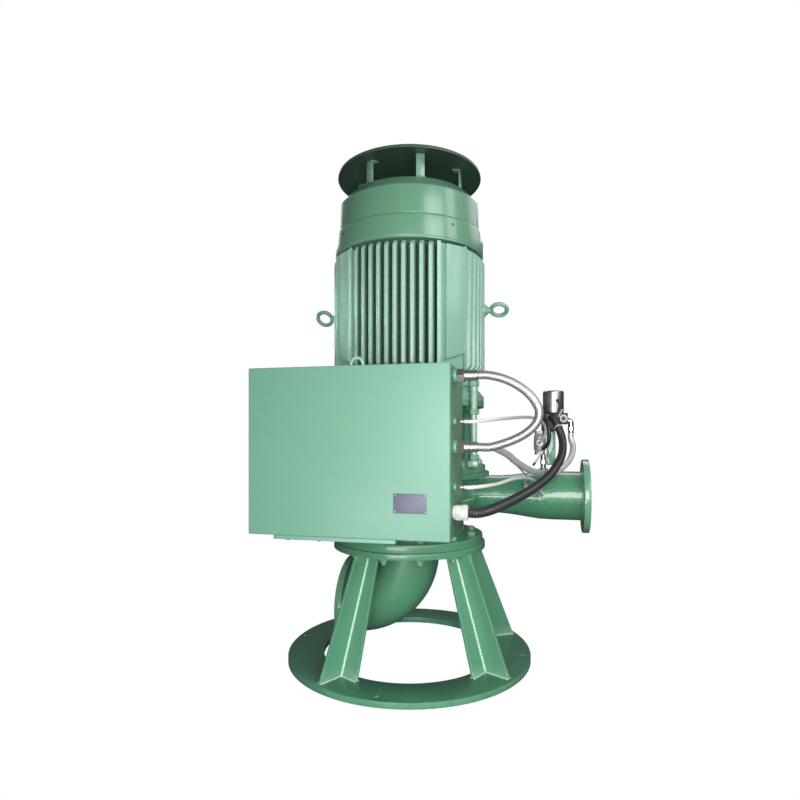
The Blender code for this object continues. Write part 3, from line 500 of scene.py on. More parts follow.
EDGES, DUST_AND_TOP_SHADE, CORE_SHADE = build_edge_group(), build_dust_and_top_shade_group(), build_core_shade_group()
print("groups", EDGES.name, DUST_AND_TOP_SHADE.name, "and", CORE_SHADE.name)

# %% [markdown]
# A painted finish puts these groups together. The shader itself stays in
# the material, with its constant values set straight on its sockets.

# %% Painted finishes
finishes = {}
DUST_COLOUR = (0.42, 0.46, 0.42, 1)


def use(tree, group, **values):
    made = tree.nodes.new("ShaderNodeGroup")
    made.node_tree = group
    for name, value in values.items():
        made.inputs[name.replace("_", " ")].default_value = value
    return made.outputs


def bare_material(name, slot, metallic, specular=0.5, coat=0.0, coat_roughness=0.1):
    material = bpy.data.materials.new(name)
    material.use_nodes = True
    tree = material.node_tree
    shader = tree.nodes["Principled BSDF"]
    shader.inputs["Metallic"].default_value = metallic
    shader.inputs["Specular IOR Level"].default_value = specular
    shader.inputs["Coat Weight"].default_value = coat
    shader.inputs["Coat Roughness"].default_value = coat_roughness
    finishes[name] = (material, slot)
    return tree, shader.inputs


def bump(tree, height, distance, strength=1.0, onto=None):
    values = {"Height": height, "Distance": distance, "Strength": strength}
    if onto is not None:
        values["Normal"] = onto
    return add(tree, "ShaderNodeBump", values).outputs[0]


def painted(name, slot, colour, roughness, drift=0.08, grain=0.0, grain_size=1.0, dust_and_top_shade_amount=0.15,
            top_dust_and_shade=DUST_COLOUR, patchiness=1.0, core_shade=0.0, core=(0.250, 0.279), wear_and_highlight=0.35, coat=0.25,
            coat_roughness=0.1):
    tree, shader = bare_material(name, slot, 0.0, coat=coat, coat_roughness=coat_roughness)
    skin = use(tree, ENAMEL, Colour=(*colour, 1), Drift=drift, Gloss_roughness=roughness)
    # Edge wear and painted highlight: at sharp bends the colour is lightened towards a pale copy of itself.
    edge = calc(tree, "MULTIPLY", use(tree, EDGES)["Mask"], wear_and_highlight)
    bright = mixed(tree, edge, skin["Colour"], tuple(min(1, 0.45 + 0.75 * c) for c in colour) + (1,))
    # Dust settles on upward faces. Given a dark colour, as on the floor ring, the same mask is painted shade
    # that darkens the top.
    dusted_and_shaded = mixed(tree, use(tree, DUST_AND_TOP_SHADE, Amount=dust_and_top_shade_amount, Patchiness=patchiness)["Mask"], bright, top_dust_and_shade)
    # Painted shade: towards the core the colour falls to an eighth of itself, at the fins' roots and inside
    # the stool.
    if core_shade:
        core_shade_mask = use(tree, CORE_SHADE, Floor=core[0], Rim=core[1])["Mask"]
        core_shade_share = calc(tree, "MULTIPLY", core_shade_mask, core_shade)
        dusted_and_shaded = mixed(tree, core_shade_share, dusted_and_shaded, tuple(0.12 * c for c in colour) + (1,))
    tree.links.new(dusted_and_shaded, shader["Base Color"])
    tree.links.new(skin["Roughness"], shader["Roughness"])
    normal = bump(tree, skin["Height"], 0.00012)
    if grain:
        normal = bump(tree, use(tree, CAST, Size=grain_size)["Height"], grain, onto=normal)
    tree.links.new(normal, shader["Normal"])


painted("stand_enamel", "stand_green", (0.102, 0.32, 0.187), 0.36, coat=0.5)
painted("cast_enamel", "stand_green", (0.080, 0.29, 0.155), 0.27, grain=0.0028, coat=1.0)
# Painted highlight: weld beads and the casting's parting ridge get a pale copy of the stand's green, so they
# read as bright lines.
painted("bead_highlight_enamel", "stand_green", (0.36, 0.64, 0.48), 0.25, coat=1.0)
# Painted shade: the floor ring's upward face is darkened through the dust mask with a dark green, so its top
# reads darker than its rim.
painted("plate_enamel", "stand_green", (0.085, 0.31, 0.165), 0.36, dust_and_top_shade_amount=0.9,
        top_dust_and_shade=(0.050, 0.168, 0.102, 1), patchiness=0.3, wear_and_highlight=0.12)
# Painted highlight: the outlet flange gets a paler copy of the casing's green.
painted("flange_highlight_enamel", "stand_green", (0.135, 0.37, 0.225), 0.30, coat=1.0)
# Painted light and shade: the motor's frame and its fan cowl carry one green, lighter on the frame, its fins
# and pads, and darker on the cowl.
painted("motor_enamel", "motor_green", (0.235, 0.47, 0.35), 0.38)
# Painted shade in the grooves between the fins.
painted("fin_enamel", "motor_green", (0.235, 0.47, 0.35), 0.38, core_shade=0.95)
painted("cowl_enamel", "motor_green", (0.135, 0.325, 0.21), 0.34, coat=1.0, coat_roughness=0.17)
painted("box_enamel", "box_green", (0.162, 0.370, 0.264), 0.42, drift=0.06, wear_and_highlight=0.12, coat=0.0)
# Painted shade: the box's sides get a darker copy of the front tray's green, with a stronger drift.
painted("box_side_shade_enamel", "box_green", (0.105, 0.27, 0.145), 0.34, drift=0.30, coat=0.1)
# Painted shade on the stool's inner wall.
painted("stool_enamel", "stand_green", (0.110, 0.34, 0.200), 0.36, coat=0.5, core_shade=1.0,
        core=(0.212, 0.228))
painted("pipe_enamel", "motor_green", (0.30, 0.56, 0.42), 0.25, coat=1.0)
painted("bush_enamel", "box_green", (0.11, 0.36, 0.21), 0.34)
# Painted highlight: the box's lifting eye gets a much paler copy of the box's green.
painted("eye_highlight_enamel", "box_green", (0.42, 0.68, 0.55), 0.28, coat=1.0)
painted("cap_enamel", "stand_green", (0.048, 0.108, 0.07), 0.40)
print(len(finishes), "painted finishes")

# %% [markdown]
# Bare steel shows fine lathe or brush lines. A noise stretched along one
# axis gives them, and the same lines vary the roughness. The braid of a
# stainless hose is worked out from its texture map: two families of wires
# that cross, each passing over and under the other in turn.

# %% Groups: brushed metal and wire braid
def build_brush_group():
    tree, source, sink = new_group("brushed metal", {
        "Roughness": ("Float", 0.3), "Lines": ("Vector", (40.0, 40.0, 1400.0)),
    }, {"Shade": "Float", "Roughness": "Float", "Height": "Float"})
    place = add(tree, "ShaderNodeVectorMath", {0: object_place(tree), 1: source["Lines"]},
                operation="MULTIPLY").outputs[0]
    lines = noise(tree, place, 1.0, 3.0, 0.6)
    stains = noise(tree, object_place(tree), 35.0, 4.0, 0.6)
    tree.links.new(ranged(tree, stains, 0.3, 0.75, 1.0, 0.72), sink["Shade"])
    rough = calc(tree, "MULTIPLY_ADD", calc(tree, "SUBTRACT", lines, 0.5), 0.22,
                 source["Roughness"])
    tree.links.new(rough, sink["Roughness"])
    tree.links.new(lines, sink["Height"])
    return tree


def build_braid_group():
    tree, source, sink = new_group("wire braid", {
        "Strands": ("Float", 12.0), "Pitch": ("Float", 0.0125),
    }, {"Height": "Float", "Shade": "Float"})
    map_place = add(tree, "ShaderNodeUVMap", uv_map="weave").outputs[0]
    parts = add(tree, "ShaderNodeSeparateXYZ", {0: map_place}).outputs
    rounds = calc(tree, "MULTIPLY", parts["X"], source["Strands"])
    steps = calc(tree, "DIVIDE", parts["Y"], source["Pitch"])
    heights = []
    for sign in (1, -1):
        across = calc(tree, "MULTIPLY_ADD", steps, sign, rounds)
        wave = calc(tree, "ABSOLUTE", calc(tree, "SINE", calc(tree, "MULTIPLY", across, math.pi)))
        other = calc(tree, "MULTIPLY_ADD", steps, -sign, rounds)
        lift = calc(tree, "SINE", calc(tree, "MULTIPLY_ADD", other, math.pi,
                                       0.0 if sign > 0 else math.pi))
        wires = calc(tree, "ABSOLUTE", calc(tree, "SINE", calc(tree, "MULTIPLY", across, 4 * math.pi)))
        body = calc(tree, "POWER", wave, 0.5)
        height = calc(tree, "MULTIPLY_ADD", lift, 0.35, body)
        heights.append(calc(tree, "MULTIPLY_ADD", wires, 0.25, height))
    top = calc(tree, "MAXIMUM", heights[0], heights[1])
    tree.links.new(top, sink["Height"])
    tree.links.new(ranged(tree, top, 0.4, 1.3, 0.35, 1.0), sink["Shade"])
    return tree


BRUSH, BRAID = build_brush_group(), build_braid_group()
print("groups", BRUSH.name, "and", BRAID.name)


# %% Metal finishes
def metal(name, slot, colour, roughness, lines=(40.0, 40.0, 1400.0), depth=0.00005, metallic=1.0):
    tree, shader = bare_material(name, slot, metallic)
    skin = use(tree, BRUSH, Roughness=roughness, Lines=lines)
    scaled = add(tree, "ShaderNodeVectorMath", {0: (*colour,), "Scale": skin["Shade"]},
                 operation="SCALE").outputs[0]
    tree.links.new(scaled, shader["Base Color"])
    tree.links.new(skin["Roughness"], shader["Roughness"])
    tree.links.new(bump(tree, skin["Height"], depth), shader["Normal"])


def braided(name, slot, colour, metallic):
    tree, shader = bare_material(name, slot, metallic)
    weave = use(tree, BRAID, Strands=14.0, Pitch=0.0100)
    scaled = add(tree, "ShaderNodeVectorMath", {0: (*colour,), "Scale": weave["Shade"]},
                 operation="SCALE").outputs[0]
    tree.links.new(scaled, shader["Base Color"])
    tree.links.new(ranged(tree, weave["Shade"], 0.3, 1.0, 0.55, 0.38), shader["Roughness"])
    tree.links.new(bump(tree, weave["Height"], 0.00022), shader["Normal"])


metal("bright_steel", "bare_steel", (0.56, 0.56, 0.54), 0.24)
metal("cast_steel", "bare_steel", (0.68, 0.69, 0.67), 0.42, depth=0.00015, metallic=0.5)
metal("can_steel", "bare_steel", (0.55, 0.535, 0.51), 0.34)
metal("machined_steel", "bare_steel", (0.50, 0.49, 0.485), 0.40)
metal("dull_steel", "dark_steel", (0.20, 0.20, 0.19), 0.42)
braided("hose_braid", "steel_braid", (0.47, 0.48, 0.475), 0.75)
# Painted highlight: the return hose's braid is a paler copy of the loop hose's.
braided("return_braid_highlight", "steel_braid", (0.86, 0.87, 0.86), 0.45)
print(len(finishes), "finishes so far")

# %% [markdown]
# The plastics are simple: a base colour with a little drift and a moulded
# grain. The pale tubes are smooth and glossy, the gland is white and the
# conduit and the actuator's housing are black.

# %% Plastic finishes
def plastic(name, slot, colour, roughness, depth=0.0001, grain=500.0, drift=0.06, coat=0.0):
    tree, shader = bare_material(name, slot, 0.0, coat=coat)
    skin = use(tree, ENAMEL, Colour=(*colour, 1), Drift=drift, Gloss_roughness=roughness,
               Peel_size=grain)
    tree.links.new(skin["Colour"], shader["Base Color"])
    tree.links.new(skin["Roughness"], shader["Roughness"])
    tree.links.new(bump(tree, skin["Height"], depth), shader["Normal"])


plastic("black_moulding", "black_plastic", (0.022, 0.022, 0.024), 0.42, depth=0.0002)
plastic("black_conduit", "black_plastic", (0.030, 0.029, 0.033), 0.30)
plastic("white_moulding", "white_plastic", (0.64, 0.65, 0.62), 0.45)
plastic("pale_tubing", "pale_tube", (0.70, 0.71, 0.70), 0.22, coat=0.5)
plastic("plate_print", "bare_steel", (0.14, 0.145, 0.20), 0.45, drift=0.5)
print(len(finishes), "finishes in all")


# %% Put a piece in the scene
def place(name, mesh, finish, *nodes, angle=35):
    """Names, shades and finishes a piece, and hides the plain solids it stands for."""
    material, slot = finishes[finish]
    mesh.name = name
    mesh.materials.clear()
    mesh.materials.append(material)
    mesh.shade_smooth()
    mesh.set_sharp_from_angle(angle=math.radians(angle))
    piece = bpy.data.objects.new(name, mesh)
    scene.collection.objects.link(piece)
    piece.location = SHAFT
    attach(piece, "root")
    if nodes:
        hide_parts(*nodes)
    print(f"{name}: {len(mesh.polygons):,} faces")
    return piece


# %% [markdown]
# ## The hoses
#
# Seven hoses and tubes run from the box's side to the valve. Each one
# leaves its fitting straight, sags under its own weight and goes straight
# into the next fitting. The routes are listed point by point, from the shaft,
# and a smooth curve is drawn through them.

# %% Where the hoses begin and end
GAP = 0.0003
PORT_Y, BACK_PORT_Y, THIN_PORT_Y = -0.500, -0.400, -0.355
HOSE_END = reach("hose_fitting_top")[1].x
TUBE_END = reach("tube_fitting_upper")[1].x
BACK_END = reach("hose_fitting_back")[1].x
THIN_END = reach("tube_fitting_back")[1].x
GLAND_END = reach("cable_gland")[1].x
valve_low, valve_high = reach("valve_body")
housing_low, housing_high = reach("actuator_housing")
VALVE_FRONT, HOUSING_FRONT = valve_low.y, housing_low.y
OUTLET_Y = (valve_low.y + valve_high.y) / 2
port_low, port_high = reach("actuator_port")
PORT_ELBOW_X, PORT_ELBOW_Y, PORT_ELBOW_Z = 0.600, OUTLET_Y - 0.012, 0.877
PORT_ELBOW_END = port_low.z
GLAND_HEIGHT = 0.602
BRANCH_HEIGHT = 0.582


def branch_spot(x, branch_radius, degrees, stand_off):
    """A point off the front of the outlet branch, and the way out from it."""
    slope = math.radians(degrees)
    way = Vector((0, -math.cos(slope), math.sin(slope)))
    return Vector((x, OUTLET_Y, BRANCH_HEIGHT)) + way * (branch_radius + stand_off), way


SENSING_FOOT, SENSING_WAY = branch_spot(0.486, 0.0942, 8, 0.0012)
SENSING_TIP = SENSING_FOOT + 0.026 * SENSING_WAY
DRAIN_FOOT, DRAIN_WAY = branch_spot(0.428, 0.0867, 28, 0.0022)
DRAIN_TIP = DRAIN_FOOT + 0.020 * DRAIN_WAY
print("hoses leave at X", [round(x, 3) for x in (HOSE_END, TUBE_END, BACK_END, GLAND_END)])

# %% The seven routes
LOOP_ROUTE = [
    (HOSE_END + GAP, PORT_Y, 0.986), (0.338, PORT_Y, 0.986), (0.372, -0.499, 0.979),
    (0.403, -0.498, 0.967), (0.434, -0.497, 0.948), (0.456, -0.497, 0.928),
    (0.471, -0.497, 0.907), (0.480, -0.497, 0.885), (0.477, -0.498, 0.861),
    (0.464, -0.498, 0.841), (0.443, -0.499, 0.823), (0.418, -0.499, 0.809),
    (0.388, PORT_Y, 0.797), (0.348, PORT_Y, 0.786), (HOSE_END + GAP, PORT_Y, 0.786),
]
AIR_ROUTE = [
    (TUBE_END + GAP, PORT_Y, 0.857), (0.305, PORT_Y, 0.857), (0.352, -0.440, 0.864),
    (0.400, -0.330, 0.872), (0.438, -0.200, 0.878), (0.468, -0.060, 0.878),
    (0.492, 0.030, 0.866), (0.503, 0.095, 0.838), (0.496, 0.135, 0.806),
    (0.480, 0.160, 0.790), (0.480, VALVE_FRONT - GAP, 0.790),
]
SENSING_ROUTE = [
    (TUBE_END + GAP, PORT_Y, 0.673), (0.298, PORT_Y, 0.673), (0.335, -0.462, 0.675),
    (0.365, -0.400, 0.677), (0.394, -0.330, 0.683), (0.420, -0.260, 0.684),
    (0.442, -0.180, 0.678), (0.462, -0.100, 0.664), (0.478, -0.020, 0.640),
    SENSING_TIP + 0.03 * SENSING_WAY, SENSING_TIP + GAP * SENSING_WAY,
]
RETURN_ROUTE = [
    (BACK_END + GAP, BACK_PORT_Y, 0.784), (0.326, BACK_PORT_Y, 0.784), (0.350, -0.375, 0.781),
    (0.385, -0.285, 0.757), (0.407, -0.230, 0.734), (0.453, -0.120, 0.699),
    (0.510, 0.000, 0.681), (0.545, 0.060, 0.687), (0.569, 0.100, 0.702),
    (0.592, 0.140, 0.726), (0.605, 0.172, 0.755), (0.607, 0.192, 0.780),
    (PORT_ELBOW_X, PORT_ELBOW_Y, 0.806), (PORT_ELBOW_X, PORT_ELBOW_Y, PORT_ELBOW_END - GAP),
]
DRAIN_ROUTE = [
    (THIN_END + GAP, THIN_PORT_Y, 0.775), (0.296, THIN_PORT_Y, 0.775), (0.351, -0.300, 0.774),
    (0.377, -0.245, 0.754), (0.401, -0.180, 0.726), (0.431, -0.090, 0.686),
    (0.439, -0.040, 0.671), (0.435, 0.030, 0.653),
    DRAIN_TIP + 0.03 * DRAIN_WAY, DRAIN_TIP + GAP * DRAIN_WAY,
]
CONDUIT_ROUTE = [
    (GLAND_END + GAP, PORT_Y, GLAND_HEIGHT), (0.314, PORT_Y, GLAND_HEIGHT), (0.345, -0.480, 0.608),
    (0.374, -0.440, 0.617), (0.404, -0.385, 0.627), (0.433, -0.325, 0.638),
    (0.457, -0.275, 0.649), (0.477, -0.230, 0.660), (0.497, -0.180, 0.672),
    (0.518, -0.125, 0.689), (0.534, -0.080, 0.707), (0.548, -0.035, 0.727),
    (0.558, 0.005, 0.748), (0.563, 0.040, 0.770), (0.564, 0.070, 0.793),
    (0.560, 0.097, 0.820), (0.551, 0.119, 0.848), (0.540, 0.136, 0.874),
    (0.530, 0.155, 0.890), (0.530, HOUSING_FRONT - GAP, 0.890),
]
LINK_ROUTE = [
    (0.497, HOUSING_FRONT - GAP, 0.894), (0.497, 0.160, 0.894), (0.504, 0.144, 0.874),
    (0.514, 0.135, 0.850), (0.518, 0.134, 0.820), (0.512, 0.140, 0.788),
    (0.497, 0.162, 0.768), (0.497, VALVE_FRONT - GAP, 0.768),
]
print(7, "routes")

# %% [markdown]
# A smooth hose needs a ring of points only every few millimetres. The cable
# conduit is corrugated, so its radius rises and falls along the curve, and
# its ribs are real geometry that shows in the outline.

# %% Make the hoses
RIB_PITCH = 0.0048


def strap_round(points, height, radius):
    """A thin strap round a hose, where the hose passes a height."""
    spot = min(range(1, len(points) - 1), key=lambda number: abs(points[number].z - height))
    way = points[spot + 1] - points[spot - 1]
    return turned([(radius, -0.0022), (radius + 0.0016, -0.0022, 0.0006),
                   (radius + 0.0016, 0.0022, 0.0006), (radius, 0.0022)], 36, closed=True,
                  matrix=aim(way, points[spot]))


def free_hose(name, route, radius, finish, node, ribbed=False, strap_height=None):
    points = smooth_route(route, RIB_PITCH / 6 if ribbed else 0.005)
    radii = [radius] * len(points)
    if ribbed:
        for number in range(len(points)):
            phase = math.tau * number / 6
            radii[number] = radius - 0.0013 * (0.5 - 0.5 * math.cos(phase)) ** 0.6
    hose = place(name, carried(points, radii, 24 if ribbed else 28), finish, node, angle=60)
    straps = []
    if strap_height is not None:
        straps = [place(f"{name}_strap", strap_round(points, strap_height, radius), "white_moulding")]


free_hose("braided_loop_hose", LOOP_ROUTE, 0.0120, "hose_braid", "loop_hose")
# The return hose's pale braid is a painted highlight.
free_hose("braided_return_hose", RETURN_ROUTE, 0.0110, "return_braid_highlight", "return_hose")
free_hose("corrugated_conduit", CONDUIT_ROUTE, 0.0145, "black_conduit", "cable_conduit",
          ribbed=True, strap_height=0.848)
free_hose("black_link_hose", LINK_ROUTE, 0.0070, "black_conduit", "link_hose")
free_hose("pale_air_tube", AIR_ROUTE, 0.0050, "pale_tubing", "air_tube")
free_hose("pale_sensing_tube", SENSING_ROUTE, 0.0055, "pale_tubing", "sensing_tube")
free_hose("pale_drain_tube", DRAIN_ROUTE, 0.0030, "pale_tubing", "drain_tube")

# %% [markdown]
# ## Nuts, bolts and welds
#
# The flats of a real nut meet a cone that was turned on its end, which
# leaves the curved corners that everyone knows. Here the six-sided outline
# is sampled every 15 degrees and its height falls off with its distance
# from the axis, which gives the same curve.

# %% Fasteners
def hexagon(across, height, both_ends=False):
    """A six-sided head or nut on Z = 0 with turned corners."""
    form = bmesh.new()
    rings = []
    levels = ["foot", "shoulder", "top"] if not both_ends else ["low", "foot", "shoulder", "top"]
    for level in levels:
        ring = []
        for step in range(24):
            degrees = 15 * step
            reach_out = across / 2 / math.cos(math.radians(degrees % 60 - 30))
            fall = 0.55 * (reach_out - 0.478 * across)
            radius, z = {
                "low": (0.478 * across, 0.0),
                "foot": (reach_out, fall if both_ends else 0.0),
                "shoulder": (reach_out, height - fall),
                "top": (0.478 * across, height),
            }[level]
            ring.append(form.verts.new(polar(radius, degrees, z)))
        rings.append(ring)
    for low, high in zip(rings, rings[1:]):
        for step in range(24):
            after = (step + 1) % 24
            form.faces.new((low[step], low[after], high[after], high[step]))
    form.faces.new(rings[0])
    form.faces.new(rings[-1])
    return finished(form)


def bolt_head(across, stud=0.0):
    """A head on its washer, or a nut on its washer with the end of a stud through it."""
    height = 0.42 * across if not stud else 0.52 * across
    pieces = [
        turned([(0, 0), (0.62 * across, 0, 0.0004), (0.62 * across, 0.1 * across, 0.0006),
                (0, 0.1 * across)], 28),
        (hexagon(across, height), move(z=0.1 * across)),
    ]
    if stud:
        top = 0.1 * across + height + stud
        pieces.append(turned([(0, 0.01), (0.33 * across, 0.01), (0.33 * across, top, 0.0012),
                              (0, top)], 18))
    return together(*pieces)


def ring_of(mesh, count, radius, height, first=0.0, flip=False):
    """Copies round the shaft, their heads up, or down when flipped."""
    over = Matrix.Rotation(math.pi, 4, "X") if flip else Matrix.Identity(4)
    return (mesh, *[spin(first + 360 * number / count) @ move(x=radius, z=height) @ over
                    for number in range(count)])


# %% [markdown]
# A weld bead is a thin bar along the joint whose thickness ripples, because
# each pulse of the torch leaves a small scallop.

# %% Weld beads
def weld(points, size=0.0035, ripple=0.0034):
    """A rippled bead along a line of points."""
    line = []
    for start, end in zip(points, points[1:]):
        start, end = Vector(start), Vector(end)
        count = max(2, round((end - start).length / (ripple / 3)))
        line += [start.lerp(end, step / count) for step in range(count)]
    line.append(Vector(points[-1]))
    radii = [size * (0.92 + 0.14 * math.cos(math.tau * number / 3) + random.uniform(-0.07, 0.07))
             for number in range(len(line))]
    return carried(line, radii, 8)


# %% [markdown]
# ## The stand
#
# The floor ring is a flat plate with four anchor holes. The four legs are
# angle sections bent from plate: their outer corner is rounded, they taper
# upwards and they lean in, so each one is lofted between the section at the
# ring and the section under the round plate.

# %% Floor ring
RING_OUTER, RING_INNER, ANCHOR_CIRCLE = 0.450, 0.320, 0.425
ring_low, ring_high = reach("base_ring")


def build_ring():
    plate = turned([(RING_OUTER, ring_high.z), (RING_OUTER, 0), (RING_INNER, 0),
                    (RING_INNER, ring_high.z)], 144, closed=True)
    drill = together(*[turned([(0, -0.01), (0.009, -0.01), (0.009, 0.04), (0, 0.04)], 24,
                              matrix=move(*polar(ANCHOR_CIRCLE, 90 * quarter)))
                       for quarter in range(4)])
    return eased(carved(plate, drill), 0.0012)


place("floor_ring_plate", build_ring(), "plate_enamel", "base_ring")

# %% Angle legs
LEG_PLATE = 0.011
LEG_FOOT, LEG_HEAD = (0.337, 0.437, 0.081), (0.210, 0.282, 0.054)
LEGS = {"leg_front_left": (-119, 1), "leg_front_right": (-27.4, -1),
        "leg_back_right": (30, 1), "leg_back_left": (120, -1)}


def leg_section(share, side):
    """The angle's outline at a share of its height, its corners rounded."""
    vertex, edge, arm = (a + (b - a) * share for a, b in zip(LEG_FOOT, LEG_HEAD))
    corners = [(vertex, 0, 0.011), (edge, 0, 0.002), (edge, LEG_PLATE, 0.002),
               (vertex + LEG_PLATE, LEG_PLATE, 0.004), (vertex + LEG_PLATE, arm, 0.002),
               (vertex, arm, 0.002)]
    return [(x, side * y) for x, y in softened(corners, closed=True, steps=5)]


def leg_bead(side, share, height, out):
    """The line that a weld follows round a leg's corner, outside it or, below zero, inside."""
    vertex, edge, arm = (a + (b - a) * share for a, b in zip(LEG_FOOT, LEG_HEAD))
    return [(edge, side * -out, height), (vertex - out, side * -out, height),
            (vertex - out, side * arm, height)]


beads = []
for leg_name, (degrees, side) in LEGS.items():
    low, high = reach(leg_name)
    sections = []
    for step in range(9):
        share = step / 8
        height = low.z + (high.z - low.z) * share
        sections.append([(x, y, height) for x, y in leg_section(share, side)])
    mesh = lofted(sections)
    mesh.transform(spin(degrees))
    place(f"{leg_name}_angle", mesh, "stand_enamel", leg_name)
    for out in (0.001, -LEG_PLATE - 0.001):
        beads.append((weld(leg_bead(side, 0.0, ring_high.z + 0.001, out)), spin(degrees)))
        beads.append((weld(leg_bead(side, 1.0, high.z - 0.0015, out), 0.003), spin(degrees)))
    inner = LEG_PLATE + 0.0015
    ridge = [(LEG_FOOT[0] + (LEG_HEAD[0] - LEG_FOOT[0]) * share + inner, side * inner,
              low.z + (high.z - low.z) * share) for share in (0.0, 0.99)]
    beads.append((weld(ridge, 0.0052, 0.012), spin(degrees)))
# The beads' pale finish is a painted highlight.
place("leg_weld_beads", together(*beads), "bead_highlight_enamel", angle=80)

# %% [markdown]
# The round plate sits on the legs and carries the casing's foot flange.
# Twelve bolts go through both, with their nuts below, and eight more nuts
# sit round the top of the inlet elbow.

# %% Round plate and its bolts
plate_low, plate_high = reach("support_plate")
PLATE_RADIUS = plate_high.x
PIPE_RADIUS = 0.1135
FOOT_BOLT_CIRCLE = 0.240
place("round_plate", turned([
    (PLATE_RADIUS, plate_high.z, 0.002), (PLATE_RADIUS, plate_low.z, 0.002),
    (PIPE_RADIUS + GAP, plate_low.z), (PIPE_RADIUS + GAP, plate_high.z),
], 128, closed=True), "stand_enamel", "support_plate")
FOOT_FLANGE_TOP = 0.455
place("foot_bolts", together(
    ring_of(bolt_head(0.026, stud=0.010), 12, FOOT_BOLT_CIRCLE, plate_low.z, 22, flip=True),
    ring_of(bolt_head(0.026), 12, FOOT_BOLT_CIRCLE, FOOT_FLANGE_TOP, 22),
    ring_of(bolt_head(0.022, stud=0.008), 8, 0.150, plate_low.z, 22.5, flip=True),
), "stand_enamel")

# %% [markdown]
# The inlet is a steel elbow of 200 mm pipe. It is swept along a quarter
# circle, and its bore is a second, narrower sweep joined to the first at
# both ends. A flat flange with eight holes closes its open end.

# %% Inlet elbow
INLET_BORE, INLET_BEND, INLET_HEIGHT = 0.100, 0.203, 0.181
INLET_FACE = reach("suction_flange")[0].x


def elbow_path(step_degrees=5):
    top = INLET_HEIGHT + INLET_BEND
    path = [Vector((0, 0, plate_high.z)), Vector((0, 0, top + 0.01))]
    for degrees in range(0, 91, step_degrees):
        angle = math.radians(degrees)
        path.append(Vector((-INLET_BEND * (1 - math.cos(angle)), 0,
                            top - INLET_BEND * math.sin(angle))))
    return path + [Vector((INLET_FACE, 0, INLET_HEIGHT))]


def build_elbow():
    path = elbow_path()
    outer = carried(path, PIPE_RADIUS, 72)
    longer = [path[0] + Vector((0, 0, 0.02))] + path[1:-1] + [path[-1] - Vector((0.02, 0, 0))]
    return eased(carved(outer, carried(longer, INLET_BORE, 72)), 0.001)


place("inlet_elbow", build_elbow(), "stand_enamel", "suction_elbow")
collar_points = [polar(PIPE_RADIUS + 0.001, 360 * n / 160, plate_low.z - 0.001) for n in range(161)]
place("elbow_weld_bead", weld(collar_points, 0.004), "stand_enamel", angle=80)

# %% Pipe flanges
FLANGE_THICK = 0.024


def drilled_flange(radius, inner, bolt_circle, hole):
    """A flat ring on Z = 0 whose eight holes straddle its centre lines."""
    ring = turned([(radius, FLANGE_THICK), (radius, 0), (inner, 0), (inner, FLANGE_THICK)],
                  128, closed=True)
    drill = together(*[turned([(0, -0.01), (hole, -0.01), (hole, 0.04), (0, 0.04)], 24,
                              matrix=move(*polar(bolt_circle, 22.5 + 45 * number)))
                       for number in range(8)])
    return eased(carved(ring, drill), 0.0018)


inlet_place = aim((1, 0, 0), (INLET_FACE, 0, INLET_HEIGHT))
place("inlet_flange_ring", together((drilled_flange(0.170, PIPE_RADIUS, 0.1475, 0.011),
                                     inlet_place)), "stand_enamel", "suction_flange")
neck_bead = [polar(PIPE_RADIUS + 0.001, 360 * n / 160, FLANGE_THICK + 0.001) for n in range(161)]
place("inlet_flange_weld", together((weld(neck_bead, 0.004), inlet_place)), "stand_enamel", angle=80)

# %% [markdown]
# ## The pump casing
#
# The casing is one rough casting: a barrel, a spiral passage that grows as
# it goes round, and a branch that widens to the outlet flange. The barrel
# is turned and the passage is swept, they are fused and smoothed, and the
# bore is cut last. Its flanges are machined, so they are turned separately
# and stay crisp.

# %% Spiral casting
NECK_RADIUS, BARREL_RADIUS = 0.205, 0.245
VOLUTE_BASE, VOLUTE_SMALL, VOLUTE_LARGE = 0.135, 0.034, 0.0765
OUTLET_FACE = reach("discharge_flange")[1].x
OUTLET_PIPE, OUTLET_BORE, OUTLET_BORE_END = 0.095, 0.075, 0.42
BRANCH_RADII = ((0.10, 0.0755), (0.22, 0.075), (0.33, 0.0755), (0.38, 0.080), (0.43, 0.087),
                (0.48, 0.0935), (0.53, OUTLET_PIPE), (OUTLET_FACE - 0.004, OUTLET_PIPE))


def volute_path():
    points, radii = [], []
    for degrees in range(45, -271, -9):
        share = (45 - degrees) / 315
        radius = VOLUTE_SMALL + (VOLUTE_LARGE - VOLUTE_SMALL) * share
        out = VOLUTE_BASE + radius + (OUTLET_Y - VOLUTE_BASE - VOLUTE_LARGE) * share
        points.append(polar(out, degrees, BRANCH_HEIGHT))
        radii.append(radius)
    for x, radius in BRANCH_RADII:
        points.append(Vector((x, OUTLET_Y, BRANCH_HEIGHT)))
        radii.append(radius)
    return points, radii


def build_casting():
    barrel = turned([
        (0, 0.655), (0.250, 0.655), (0.250, 0.640), (BARREL_RADIUS, 0.634),
        (BARREL_RADIUS, 0.560), (NECK_RADIUS, 0.505), (NECK_RADIUS, 0.440), (0, 0.440)], 96)
    points, radii = volute_path()
    passage = carried(points, radii, 48)
    fused = applied(together(barrel, passage),
                    ("REMESH", {"mode": "VOXEL", "voxel_size": 0.0048}),
                    ("SMOOTH", {"factor": 0.6, "iterations": 7}))
    bore = turned([(0, OUTLET_BORE_END), (OUTLET_BORE + 0.0005, OUTLET_BORE_END),
                   (OUTLET_BORE + 0.0005, OUTLET_FACE + 0.02), (0, OUTLET_FACE + 0.02)], 64,
                  matrix=Matrix.Translation((0, OUTLET_Y, BRANCH_HEIGHT))
                  @ Matrix.Rotation(math.pi / 2, 4, "Y"))
    return carved(fused, bore, "MANIFOLD")


